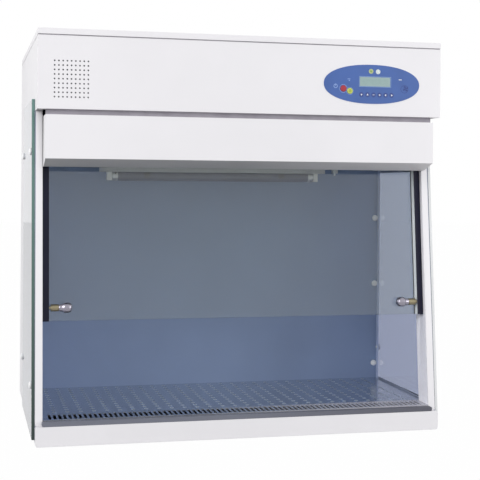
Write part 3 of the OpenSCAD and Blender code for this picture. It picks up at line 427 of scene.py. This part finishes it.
def moulded_white():
    white = (0.90, 0.90, 0.89)
    mat = finish("moulded_white", white, 0.34)
    relief(mat, noise(mat, 900), 0.00003, 0.4)
    mottle(mat, noise(mat, 80), white, 0.95, 1.02)
    return mat


def tube_glass():
    """Smoke-violet glass of the unlit tube."""
    milk = (0.120, 0.132, 0.200)
    mat = finish("tube_glass", milk, 0.16, IOR=1.5)
    mottle(mat, noise(mat, 14, (0.3, 1, 1)), milk, 0.93, 1.05)
    return mat


def circuit_board():
    green = (0.020, 0.110, 0.050)
    mat = finish("circuit_board", green, 0.35, Coat_Weight=0.5)
    place = node_of(mat, "ShaderNodeTexCoord")
    tracks = node_of(mat, "ShaderNodeTexBrick", Scale=220, Mortar_Size=0.08)
    tracks.inputs["Color1"].default_value = (*green, 1)
    tracks.inputs["Color2"].default_value = (*shade(green, 0.75), 1)
    tracks.inputs["Mortar"].default_value = (0.06, 0.22, 0.09, 1)
    join(mat, place, "Object", tracks, "Vector")
    join(mat, tracks, "Color", mat.node_tree.nodes["Principled BSDF"], "Base Color")
    return mat


def panel_blue():
    """Blue polyester overlay with a fine textured face."""
    blue = (0.050, 0.114, 0.350)
    mat = finish("panel_blue", blue, 0.38)
    relief(mat, noise(mat, 2600), 0.00003, 0.4)
    mottle(mat, noise(mat, 25), blue, 0.94, 1.07)
    return mat


def display_green():
    """Unlit reflective liquid crystal behind its window."""
    green = (0.315, 0.425, 0.42)
    mat = finish("display_green", green, 0.2, Coat_Weight=0.7, Coat_Roughness=0.04)
    mottle(mat, noise(mat, 60), green, 0.96, 1.04)
    return mat


def lens_plastic():
    lens = (0.62, 0.70, 0.34)
    mat = finish("lens_plastic", lens, 0.14, IOR=1.49, Transmission_Weight=0.25)
    mottle(mat, noise(mat, 300), lens, 0.9, 1.06)
    return mat


def turned_brass():
    brass = (0.27, 0.235, 0.155)
    mat = finish("turned_brass", brass, 0.36, 1.0)
    relief(mat, noise(mat, 900, (12, 1, 1)), 0.00002, 0.4)
    mottle(mat, noise(mat, 70), brass, 0.85, 1.08)
    return mat


def bright_chrome():
    chrome = (0.33, 0.315, 0.37)
    mat = finish("bright_chrome", chrome, 0.26, 1.0)
    relief(mat, noise(mat, 700, (10, 1, 1)), 0.00001, 0.25)
    between(mat, noise(mat, 90), 0.22, 0.32, "Roughness")
    return mat


def key_plastic(name, colour):
    mat = finish(name, colour, 0.32)
    relief(mat, noise(mat, 1400), 0.00003, 0.4)
    mottle(mat, noise(mat, 90), colour, 0.9, 1.08)
    return mat


def nylon():
    white = (0.74, 0.73, 0.68)
    mat = finish("nylon", white, 0.4, Subsurface_Weight=0.1)
    relief(mat, noise(mat, 900), 0.00003, 0.4)
    mottle(mat, noise(mat, 60), white, 0.95, 1.03)
    return mat


def tube_cap():
    """Drawn aluminium cap at each end of the tube."""
    mat = finish("tube_cap", (0.42, 0.43, 0.46), 0.30, 1.0)
    between(mat, noise(mat, 200), 0.24, 0.38, "Roughness")
    return mat


def hole_rim_painted_highlight():
    """Rims round the worktop's holes in a bright bluish satin, a painted highlight on their edges.
    """
    mat = satin("hole_rim_painted_highlight", (0.50, 0.59, 0.72))
    between(mat, noise(mat, 400), 0.26, 0.40, "Roughness")
    return mat


FINISHES = {
    "powder_coat": powder_coat(),
    "back_paint": back_paint(),
    "steel_sheet": steel_sheet(),
    "zinc_steel": zinc_steel(),
    "tinted_glass": tinted_glass(),
    "black_profile": black_profile(),
    "black_rubber": black_rubber(),
    "grey_foam": grey_foam(),
    "white_cap": white_cap(),
    "filter_paper": filter_paper(),
    "filter_board": filter_board(),
    "cast_body": cast_body(),
    "moulded_black": moulded_black(),
    "moulded_white": moulded_white(),
    "tube_glass": tube_glass(),
    "circuit_board": circuit_board(),
    "panel_blue": panel_blue(),
    "display_green": display_green(),
    "lens_plastic": lens_plastic(),
    "turned_brass": turned_brass(),
    "bright_chrome": bright_chrome(),
    "key_red_plastic": key_plastic("key_red_plastic", (0.36, 0.030, 0.055)),
    "key_yellow_plastic": key_plastic("key_yellow_plastic", (0.55, 0.62, 0.12)),
    "nylon": nylon(),
}
CLEAR_GLASS = clear_glass()
GLASS_EDGE = glass_edge()
PALE_EDGE = pale_edge()
SIDE_PAINT_AND_PAINTED_LIGHT = side_paint_and_painted_light()
PROFILE_PAINTED_HIGHLIGHT = profile_painted_highlight()
SILL_RUBBER_PAINTED_LIGHT = sill_rubber_painted_light()
DECK_STEEL = deck_steel()
CLIP_STEEL = clip_steel()
# Painted light: the posts' inner returns are painted near white, paler than the sheet, for the
# light on them.
REVEAL_PAINTED_LIGHT = satin("reveal_painted_light", (0.97, 0.955, 1.0))
RETURN_PAINTED_SHADE = return_painted_shade()
TUBE_CAP = tube_cap()


# ---- Pieces ----

# Edges that turn more than SHARP stay sharp in the shading and are rounded over; faces that turn
# less than FLAT are joined.
SHARP = math.radians(30)
FLAT = math.radians(0.5)
# In metres: how near corners are merged, the shortest edge that is rounded on a piece whose hole
# rims stay as they are, the air between a side pane and its painted sheet, and the pane's arris.
WELD = 2e-6
LONG_EDGE = 0.015
PANE_GAP = 0.0003
PANE_ARRIS = 0.0009
# In metres from the middle or the floor, for the choice of a face's finish: the side sheets' inner
# faces and the ceiling above them, the front posts' inner returns, the sash profiles' inner sides
# and the tube's caps.
SHEET_INSIDE = (0.3880, 0.3898)
CEILING_Z = 0.514
RETURN_X = 0.3790
PROFILE_X = 0.3638
TUBE_CAP_X = 0.2060


def new_piece(name, bm, body, finishes):
    """Makes a piece of a finished bmesh and lets it ride on a body."""
    mesh = bpy.data.meshes.new(name)
    bm.to_mesh(mesh)
    bm.free()
    for mat in finishes:
        mesh.materials.append(mat)
    piece = bpy.data.objects.new(name, mesh)
    bpy.context.scene.collection.objects.link(piece)
    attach(piece, body)
    return piece


def soften(piece, width):
    """Rounds the piece's edges over by width, in metres."""
    bevel = piece.modifiers.new("edges", "BEVEL")
    bevel.width = width
    bevel.segments = 2
    bevel.limit_method = "ANGLE"
    bevel.angle_limit = SHARP
    bevel.use_clamp_overlap = False
    bevel.harden_normals = True


def bevel_long_edges(piece):
    """Keeps the rounding to long sharp edges, so that hole rims stay as they are."""
    mesh = piece.data
    weight = mesh.attributes.new("bevel_weight_edge", "FLOAT", "EDGE")
    for edge in mesh.edges:
        start, end = (mesh.vertices[index].co for index in edge.vertices)
        long_enough = edge.use_edge_sharp and (end - start).length > LONG_EDGE
        weight.data[edge.index].value = 1.0 if long_enough else 0.0
    piece.modifiers["edges"].limit_method = "WEIGHT"


def merged_copy(node, join_faces):
    """The node's mesh with its loose triangles merged and, unless it has windows, joined flat."""
    bm = bmesh.new()
    bm.from_mesh(NODES[node].data)
    for layer in list(bm.loops.layers.float_vector):
        bm.loops.layers.float_vector.remove(layer)
    bmesh.ops.remove_doubles(bm, verts=bm.verts, dist=WELD)
    if join_faces:
        bmesh.ops.dissolve_limit(
            bm, angle_limit=FLAT, verts=bm.verts, edges=bm.edges, delimit={"NORMAL"}
        )
    for face in bm.faces:
        face.smooth = True
    for edge in bm.edges:
        edge.smooth = edge.is_manifold and edge.calc_face_angle(0) < SHARP
    return bm


def dressed(node, width=0.0, finishes=None, pick=None, join_faces=True):
    """A node's own shape in its finishes, rounded over by width in millimetres, in its place."""
    slot = SLOT_OF[node]
    bm = merged_copy(node, join_faces)
    if pick:
        for face in bm.faces:
            face.material_index = pick(face)
    piece = new_piece(node + "_finished", bm, BODY_OF[node], finishes or [FINISHES[slot]])
    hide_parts(node)
    if width:
        soften(piece, width / 1000)
    return piece


def coat(node, mat=None):
    """Gives a node its finish and keeps its own mesh."""
    mesh = NODES[node].data
    mesh.materials.clear()
    mesh.materials.append(mat or FINISHES[SLOT_OF[node]])


def rounded(bm, edges, width, segments):
    """Rounds edges over by width, in metres, and gives the new corners."""
    return bmesh.ops.bevel(
        bm, geom=edges, offset=width, offset_type="OFFSET", affect="EDGES", segments=segments,
        profile=0.5, material=-1,
    )["verts"]


def side_pane(node, edge):
    """A side wall's pane with bevelled edges; its screw holes lie under the cover caps."""
    low, high = (Vector(corner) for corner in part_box(node))
    if low.x < 0:
        high.x -= PANE_GAP
    else:
        low.x += PANE_GAP
    span = high - low
    bm = bmesh.new()
    bmesh.ops.create_cube(bm, size=1)
    bmesh.ops.scale(bm, vec=span, verts=bm.verts)
    bmesh.ops.translate(bm, vec=low + span / 2, verts=bm.verts)
    for vert in bm.verts:
        if vert.co.y < low.y + span.y / 2:
            vert.co.y = at(0, lean_y(vert.co.z * 1000), 0).y
    rounded(bm, list(bm.edges), PANE_ARRIS, 2)
    for face in bm.faces:
        face.material_index = 0 if abs(face.normal.x) > 0.9 else 1
    finishes = [FINISHES["tinted_glass"], edge]
    piece = new_piece(node + "_pane", bm, BODY_OF[node], finishes)
    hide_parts(node)


def plunger_spring(node):
    """A plunger's spring in its finish, with a mesh of its own."""
    spring = dressed(node)
    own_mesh(spring)


def looks_inward(face, reach):
    """Whether a face looks towards the middle and lies within reach of it, in metres."""
    middle = face.calc_center_median()
    return face.normal.x * middle.x < -0.3 and abs(middle.x) < reach


def frame_faces(face):
    """Satin paint on the side sheets' inner faces, and near-white painted light on the posts' inner
    returns.
    """
    middle = face.calc_center_median()
    if SHEET_INSIDE[0] < abs(middle.x) < SHEET_INSIDE[1] and middle.z < CEILING_Z:
        return 1
    return 2 if looks_inward(face, RETURN_X) else 0


def profile_faces(face):
    """Painted highlight on the polished side of the profile that faces the middle of the sash."""
    return 1 if looks_inward(face, PROFILE_X) else 0


def tube_ends(face):
    """Metal caps on the tube's ends."""
    return 1 if abs(face.calc_center_median().x) > TUBE_CAP_X else 0


def hood_returns(face):
    """Painted shade on the hood's faces that look down."""
    return 1 if face.normal.z < -0.7 else 0


def sash_rims(face):
    """Edge glass on the narrow faces of the sash's pane."""
    return 0 if abs(face.normal.y) > 0.9 else 1


# How far the edges of each node are rounded over, in millimetres.
SOFT_EDGES = {
    "base_pan": 0.4, "feet": 0.5, "front_rail": 0.5, "glass_caps": 0.3, "back_wall": 0.3,
    "wall_caps": 0.3, "spill_tray": 0.3, "outer_shell": 0.3, "rear_panel": 0.4,
    "panel_screws": 0.2, "lid": 0.6, "lid_seal": 0.3, "hood_spacer": 0.5, "ceiling_frame": 0.3,
    "filter_frame": 0.8, "filter_gasket": 0.6, "plenum_box": 0.4, "fan_shelf": 0.4,
    "fan_motor": 0.5, "prefilter_frame": 0.25, "lamp_reflector": 0.25, "lamp_holders": 0.6,
    "airflow_sensor": 0.4, "ballast": 0.6, "display_module": 0.4, "power_inlet": 0.4,
    "sash_guides": 0.4, "plunger_bush_left": 0.15, "plunger_bush_right": 0.15,
    "plunger_knob_left": 0.2, "plunger_knob_right": 0.2, "key_red": 0.25, "key_yellow": 0.25,
}
# The same for nodes with finishes of their own: rounding, finishes, choice by face, joined flat.
SIDE_FINISHES = [FINISHES["powder_coat"], SIDE_PAINT_AND_PAINTED_LIGHT, REVEAL_PAINTED_LIGHT]
PROFILE_FINISHES = [FINISHES["black_profile"], PROFILE_PAINTED_HIGHLIGHT]
OWN_FINISHES = {
    "side_frame_left": (0.3, SIDE_FINISHES, frame_faces, False),
    "side_frame_right": (0.3, SIDE_FINISHES, frame_faces, False),
    "sash_edge_left": (0.35, PROFILE_FINISHES, profile_faces),
    "sash_edge_right": (0.35, PROFILE_FINISHES, profile_faces),
    "hood_panel": (0.45, [FINISHES["powder_coat"], RETURN_PAINTED_SHADE], hood_returns),
    "sill_strip": (0.6, [SILL_RUBBER_PAINTED_LIGHT]),
    "light_tube": (0.4, [FINISHES["tube_glass"], TUBE_CAP], tube_ends),
    "sash_glass": (0.6, [CLEAR_GLASS, GLASS_EDGE], sash_rims),
}
HOLED = ("outer_shell", "side_frame_left", "side_frame_right")
PANE_EDGES = {"side_glass_left": GLASS_EDGE, "side_glass_right": PALE_EDGE}
SPRING_PULL = {
    "plunger_spring_left": "plunger_left_pull", "plunger_spring_right": "plunger_right_pull",
}
COATS = {"lamp_clips": CLIP_STEEL, "worktop": DECK_STEEL}
for node in NODES:
    if node in PANE_EDGES:
        side_pane(node, PANE_EDGES[node])
    elif node in SPRING_PULL:
        plunger_spring(node)
    elif node in OWN_FINISHES or node in SOFT_EDGES:
        made = dressed(node, *OWN_FINISHES.get(node, (SOFT_EDGES.get(node),)))
        if node in HOLED:
            bevel_long_edges(made)
    else:
        coat(node, COATS.get(node))


# ---- Fine fittings ----

# In millimetres: the depth of the overlay's face, and the middles (x, z) of what stands on it.
FASCIA_Y, OVERLAY_THICK = 2, 0.6
OVERLAY_Y = FASCIA_Y - OVERLAY_THICK
KEY_X = [226.3 + 12.36 * step for step in range(6)]
KEY_Z = 655.0
DISPLAY = (254.0, 680.2)
GREEN_LENS, PALE_LENS = (245.5, 700.4), (259.9, 699.9)
RED_KEY, YELLOW_KEY = (189.6, 665.9), (202.8, 661.5)
FAN_SIGN, FAN_RING = (317.1, 668.5), (314.6, 667.6)
POWER_SIGN = (173.8, 670.3)
# How many sides a small round print has, and a larger ring.
ROUND, LARGE_ROUND = 32, 48


def on_face(bm, verts, spot, y):
    """Moves a flat shape drawn in XY to the upright plane at depth y, centred on spot (x, z)."""
    upright = Matrix.Rotation(math.radians(90), 3, "X")
    bmesh.ops.rotate(bm, cent=(0, 0, 0), matrix=upright, verts=verts)
    bmesh.ops.translate(bm, vec=at(spot[0], y, spot[1]), verts=verts)


def edges_of(verts):
    """The edges at these corners, each once and always in the same order."""
    return list(dict.fromkeys(edge for vert in verts for edge in vert.link_edges))


def corners_in(geom):
    return [part for part in geom if isinstance(part, bmesh.types.BMVert)]


def grow(bm, rim, radius, level):
    """Extrudes a round rim to a radius and level in metres; gives the new rim and its corners."""
    grown = bmesh.ops.extrude_edge_only(bm, edges=rim)["geom"]
    verts = corners_in(grown)
    for vert in verts:
        flat = Vector((vert.co.x, vert.co.y, 0)).normalized() * radius
        vert.co = Vector((flat.x, flat.y, level))
    return [part for part in grown if isinstance(part, bmesh.types.BMEdge)], verts


def raised_disc(bm, spot, radius, y, height, arris=0.0):
    """A round print or button, raised towards the front by height, in millimetres."""
    made = bmesh.ops.create_cone(
        bm, cap_ends=True, segments=ROUND, radius1=radius / 1000, radius2=(radius - arris) / 1000,
        depth=height / 1000,
    )["verts"]
    on_face(bm, made, spot, y - height / 2)


def raised_plate(bm, spot, wide, high, y, height, corner=0.0):
    """A rectangular print or frame bar, with rounded corners where corner is given."""
    made = bmesh.ops.create_cube(bm, size=1)["verts"]
    bmesh.ops.scale(bm, vec=Vector((wide, high, height)) / 1000, verts=made)
    if corner:
        upright = [
            edge for edge in edges_of(made)
            if abs(edge.verts[0].co.z - edge.verts[1].co.z) > height / 2000
        ]
        made = dict.fromkeys([*made, *rounded(bm, upright, corner / 1000, 3)])
        made = [vert for vert in made if vert.is_valid]
    on_face(bm, made, spot, y - height / 2)


def raised_ring(bm, spot, inner, outer, y, height, segments=ROUND):
    """A flat ring, raised towards the front."""
    made = bmesh.ops.create_circle(
        bm, cap_ends=False, segments=segments, radius=inner / 1000
    )["verts"]
    rim = edges_of(made)
    for radius, level in ((inner, height), (outer, height), (outer, 0)):
        rim, verts = grow(bm, rim, radius / 1000, level / 1000)
        made += verts
    on_face(bm, made, spot, y)


def arrow(bm, spot, size, turn, y):
    """A small solid arrow head; turn is in degrees, 0 points right."""
    made = bmesh.ops.create_cone(
        bm, cap_ends=True, segments=3, radius1=size / 1000, radius2=size / 1000, depth=0.00012
    )["verts"]
    spin = Matrix.Rotation(math.radians(turn - 90), 3, "Z")
    bmesh.ops.rotate(bm, cent=(0, 0, 0), matrix=spin, verts=made)
    on_face(bm, made, spot, y)


def closed(bm):
    """The finished bmesh with its faces turned outwards."""
    bmesh.ops.recalc_face_normals(bm, faces=bm.faces)
    return bm


def key_pads():
    """Six key pads, the fan sign and the ring round it."""
    bm = bmesh.new()
    for x in KEY_X:
        raised_disc(bm, (x, KEY_Z), 4.7, OVERLAY_Y, 0.25, arris=0.6)
    hub_x, hub_z = FAN_SIGN
    raised_disc(bm, FAN_SIGN, 1.5, OVERLAY_Y, 0.06)
    for turn in range(0, 360, 90):
        for reach, lag, radius in ((3.3, 0, 1.9), (5.0, 0.35, 1.3)):
            angle = math.radians(turn + 20) + lag
            spot = (hub_x + reach * math.cos(angle), hub_z + reach * math.sin(angle))
            raised_disc(bm, spot, radius, OVERLAY_Y, 0.06)
    raised_ring(bm, FAN_RING, 6.9, 7.9, OVERLAY_Y, 0.05, LARGE_ROUND)
    return closed(bm)


def white_marks():
    """Arrows, a minus and a plus on the key pads, and a dash above the fan sign."""
    bm = bmesh.new()
    for key, turn in ((0, -90), (1, 90), (4, 180), (5, 0)):
        arrow(bm, (KEY_X[key], KEY_Z), 2.2, turn, OVERLAY_Y - 0.28)
    for key, wide, high, height in ((2, 3.6, 0.9, 0.14), (3, 3.6, 0.9, 0.14), (3, 0.9, 3.6, 0.15)):
        raised_plate(bm, (KEY_X[key], KEY_Z), wide, high, OVERLAY_Y - 0.2, height)
    raised_plate(bm, (305.6, 685.6), 6.0, 1.4, OVERLAY_Y, 0.07)
    return closed(bm)


def pale_marks():
    """A power sign, a lamp sign and a ring round each press key."""
    bm = bmesh.new()
    raised_ring(bm, POWER_SIGN, 2.9, 4.1, OVERLAY_Y, 0.07)
    raised_plate(bm, (POWER_SIGN[0], POWER_SIGN[1] + 2.3), 1.1, 4.4, OVERLAY_Y, 0.08)
    raised_plate(bm, (200.7, 684.5), 6.0, 1.1, OVERLAY_Y, 0.07)
    raised_plate(bm, (201.5, 681.6), 2.2, 2.0, OVERLAY_Y, 0.07)
    raised_ring(bm, RED_KEY, 7.4, 8.1, OVERLAY_Y, 0.06, LARGE_ROUND)
    raised_ring(bm, YELLOW_KEY, 6.6, 7.2, OVERLAY_Y, 0.06, LARGE_ROUND)
    return closed(bm)


def display_border():
    """Four bars round the display window."""
    bm = bmesh.new()
    x, z = DISPLAY
    for step in (9.7, -9.7):
        raised_plate(bm, (x, z + step), 66.0, 1.6, OVERLAY_Y, 0.35, 0.2)
    for step in (-32.2, 32.2):
        raised_plate(bm, (x + step, z), 1.6, 17.8, OVERLAY_Y, 0.35, 0.2)
    return closed(bm)


def display_cells():
    """Two lines of sixteen character cells."""
    bm = bmesh.new()
    x, z = DISPLAY
    for column in range(16):
        for row in (-1, 1):
            spot = (x + (column - 7.5) * 3.5, z + row * 3.3)
            raised_plate(bm, spot, 2.9, 5.4, OVERLAY_Y + 0.1, 0.05)
    return closed(bm)


def lens(spot, domed):
    """A lens's ring, with its low dome where it has one."""
    bm = bmesh.new()
    raised_ring(bm, spot, 3.4, 4.6, OVERLAY_Y, 0.5)
    if domed:
        raised_disc(bm, spot, 3.2, OVERLAY_Y - 0.4, 0.5, arris=1.2)
    return closed(bm)


def dish(spot, radius):
    """A low round button with a bevelled rim, on a lens or a key."""
    bm = bmesh.new()
    raised_disc(bm, spot, radius, OVERLAY_Y - 0.9, 0.25, arris=0.5)
    return closed(bm)


def vent_felt():
    """A felt pad behind the vent holes."""
    bm = bmesh.new()
    raised_plate(bm, (-329.3, 668.7), 84, 84, 5.4, 1.7, 6)
    return closed(bm)


def deck_hole_lips():
    """Low bright rims pressed up round the worktop's holes."""
    first_y, pitch_x, pitch_y, columns, rows = 84.5, 25, 22, 29, 12
    bm = bmesh.new()
    rim = edges_of(
        bmesh.ops.create_circle(bm, cap_ends=False, segments=12, radius=0.00255)["verts"]
    )
    for radius, level in ((0.0030, 0.00035), (0.0040, 0.0)):
        rim, _ = grow(bm, rim, radius, level)
    lip = [*bm.verts, *bm.edges, *bm.faces]
    for column in range(columns):
        for row in range(rows):
            copy = bmesh.ops.duplicate(bm, geom=lip)["geom"]
            x, y = (column - (columns - 1) / 2) * pitch_x, first_y + row * pitch_y
            bmesh.ops.translate(bm, vec=at(x, y, DECK_TOP + 0.02), verts=corners_in(copy))
    bmesh.ops.delete(bm, geom=corners_in(lip), context="VERTS")
    for face in bm.faces:
        face.smooth = True
    return bm


OVERLAY, LENS = ("cabinet", "panel_blue"), ("cabinet", "lens_plastic")
RED, YELLOW = ("red_key", "key_red_plastic"), ("yellow_key", "key_yellow_plastic")
FITTINGS = (
    ("panel_key_pads", key_pads(), *OVERLAY, satin("print_navy", (0.030, 0.060, 0.230))),
    ("panel_marks", white_marks(), *OVERLAY, satin("print_white", (0.80, 0.82, 0.86))),
    ("panel_pale_marks", pale_marks(), *OVERLAY, satin("print_pale", (0.26, 0.37, 0.66))),
    ("display_border", display_border(), *OVERLAY, satin("display_frame", (0.16, 0.26, 0.50))),
    ("display_cells", display_cells(), "cabinet", "display_green",
     satin("cell_tint", (0.275, 0.385, 0.375))),
    ("lens_ring", lens(GREEN_LENS, False), *LENS, FINISHES["lens_plastic"]),
    ("pale_lens", lens(PALE_LENS, True), *LENS, satin("pale_lens", (0.66, 0.72, 0.74))),
    ("lens_core", dish(GREEN_LENS, 2.1), *LENS, satin("lens_core_print", (0.21, 0.34, 0.10))),
    ("red_key_dish", dish(RED_KEY, 3.9), *RED, satin("red_key_dish_print", (0.36, 0.020, 0.032))),
    ("yellow_key_dish", dish(YELLOW_KEY, 3.5), *YELLOW,
     satin("yellow_key_dish_print", (0.36, 0.42, 0.06))),
    ("vent_felt", vent_felt(), "cabinet", "black_rubber", felt()),
    ("deck_hole_lips", deck_hole_lips(), "cabinet", "steel_sheet", hole_rim_painted_highlight()),
)
for name, shape, body, slot, mat in FITTINGS:
    fitting = new_piece(name, shape, body, [mat])
    if name == "vent_felt":
        soften(fitting, 0.0005)


# ---- Floor, light and camera ----

# How much of plain white the floor shows to the eye or through glass, and in metal; the rest is
# its own lit surface, which carries the object's shadow.
FLOOR_SEEN, FLOOR_MIRRORED = 0.99, 0.74
WORLD_STRENGTH = 0.70
# Each soft lamp's place and size in metres, and its power in watts; both are aimed at AIM.
LAMPS = {
    "key_light": ((-2.7, -1.9, 1.5), (2.2, 1.6), 58),
    "fill_light": ((2.5, -2.0, 1.0), (1.8, 1.8), 39),
}
AIM = (0, 0, 0.35)
CAMERA_PLACE = (-0.518208, -2.36694, 0.477472)
YAW, PITCH, ROLL = 0.2381, 0.0039, 0.0078


def studio_floor():
    bm = bmesh.new()
    bmesh.ops.create_grid(bm, x_segments=1, y_segments=1, size=12)
    mesh = bpy.data.meshes.new("studio_floor")
    bm.to_mesh(mesh)
    bm.free()
    floor = bpy.data.objects.new("studio_floor", mesh)
    bpy.context.scene.collection.objects.link(floor)
    mat = finish("studio_white", (0.42, 0.42, 0.42), 0.9)
    glow = node_of(mat, "ShaderNodeEmission", Strength=1.0)
    path = node_of(mat, "ShaderNodeLightPath")
    blend = node_of(mat, "ShaderNodeMixShader")
    direct, share = math_of(mat, "MAXIMUM"), math_of(mat, "MAXIMUM")
    seen, mirrored = math_of(mat, "MULTIPLY", FLOOR_SEEN), math_of(mat, "MULTIPLY", FLOOR_MIRRORED)
    join(mat, path, "Is Camera Ray", direct, 0)
    join(mat, path, "Is Transmission Ray", direct, 1)
    join(mat, path, "Is Glossy Ray", mirrored, 0)
    join(mat, direct, "Value", seen, 0)
    join(mat, seen, "Value", share, 0)
    join(mat, mirrored, "Value", share, 1)
    join(mat, share, "Value", blend, "Fac")
    join(mat, mat.node_tree.nodes["Principled BSDF"], "BSDF", blend, 1)
    join(mat, glow, "Emission", blend, 2)
    join(mat, blend, "Shader", mat.node_tree.nodes["Material Output"], "Surface")
    mesh.materials.append(mat)


def studio_world():
    """Soft light all round, which shows as plain white to the eye, in metal and through glass."""
    world = bpy.data.worlds.new("studio")
    bpy.context.scene.world = world
    world.use_nodes = True
    world.node_tree.nodes.clear()
    out = node_of(world, "ShaderNodeOutputWorld")
    white = node_of(world, "ShaderNodeBackground", Color=(1, 1, 1, 1), Strength=1.0)
    soft = node_of(
        world, "ShaderNodeBackground", Color=(0.97, 0.98, 1, 1), Strength=WORLD_STRENGTH
    )
    path = node_of(world, "ShaderNodeLightPath")
    blend = node_of(world, "ShaderNodeMixShader")
    outer, seen = math_of(world, "MAXIMUM"), math_of(world, "MAXIMUM")
    join(world, path, "Is Camera Ray", outer, 0)
    join(world, path, "Is Glossy Ray", outer, 1)
    join(world, outer, "Value", seen, 0)
    join(world, path, "Is Transmission Ray", seen, 1)
    join(world, seen, "Value", blend, "Fac")
    join(world, soft, "Background", blend, 1)
    join(world, white, "Background", blend, 2)
    join(world, blend, "Shader", out, "Surface")


def softbox(name, place, size, power):
    lamp = bpy.data.lights.new(name, "AREA")
    lamp.shape = "RECTANGLE"
    lamp.size, lamp.size_y = size
    lamp.energy = power
    holder = bpy.data.objects.new(name, lamp)
    bpy.context.scene.collection.objects.link(holder)
    holder.location = place
    holder.rotation_euler = (Vector(AIM) - Vector(place)).to_track_quat("-Z", "Y").to_euler()


def camera():
    data = bpy.data.cameras.new("camera")
    data.lens, data.sensor_width, data.shift_y = 85.396, 36, -0.104
    data.clip_start, data.clip_end = 0.05, 60
    holder = bpy.data.objects.new("camera", data)
    bpy.context.scene.collection.objects.link(holder)
    level = Vector((math.sin(YAW), math.cos(YAW), 0))
    side = Vector((math.cos(YAW), -math.sin(YAW), 0))
    top = Vector((0, 0, 1))
    ahead = level * math.cos(PITCH) - top * math.sin(PITCH)
    top = top * math.cos(PITCH) + level * math.sin(PITCH)
    right = side * math.cos(ROLL) + top * math.sin(ROLL)
    up = top * math.cos(ROLL) - side * math.sin(ROLL)
    turn = Matrix((right, up, -ahead)).transposed().to_4x4()
    holder.matrix_world = Matrix.Translation(CAMERA_PLACE) @ turn
    bpy.context.scene.camera = holder


studio_floor()
studio_world()
for name, (place, size, power) in LAMPS.items():
    softbox(name, place, size, power)
camera()
bpy.context.scene.view_settings.view_transform = "Standard"

bpy.context.view_layer.update()
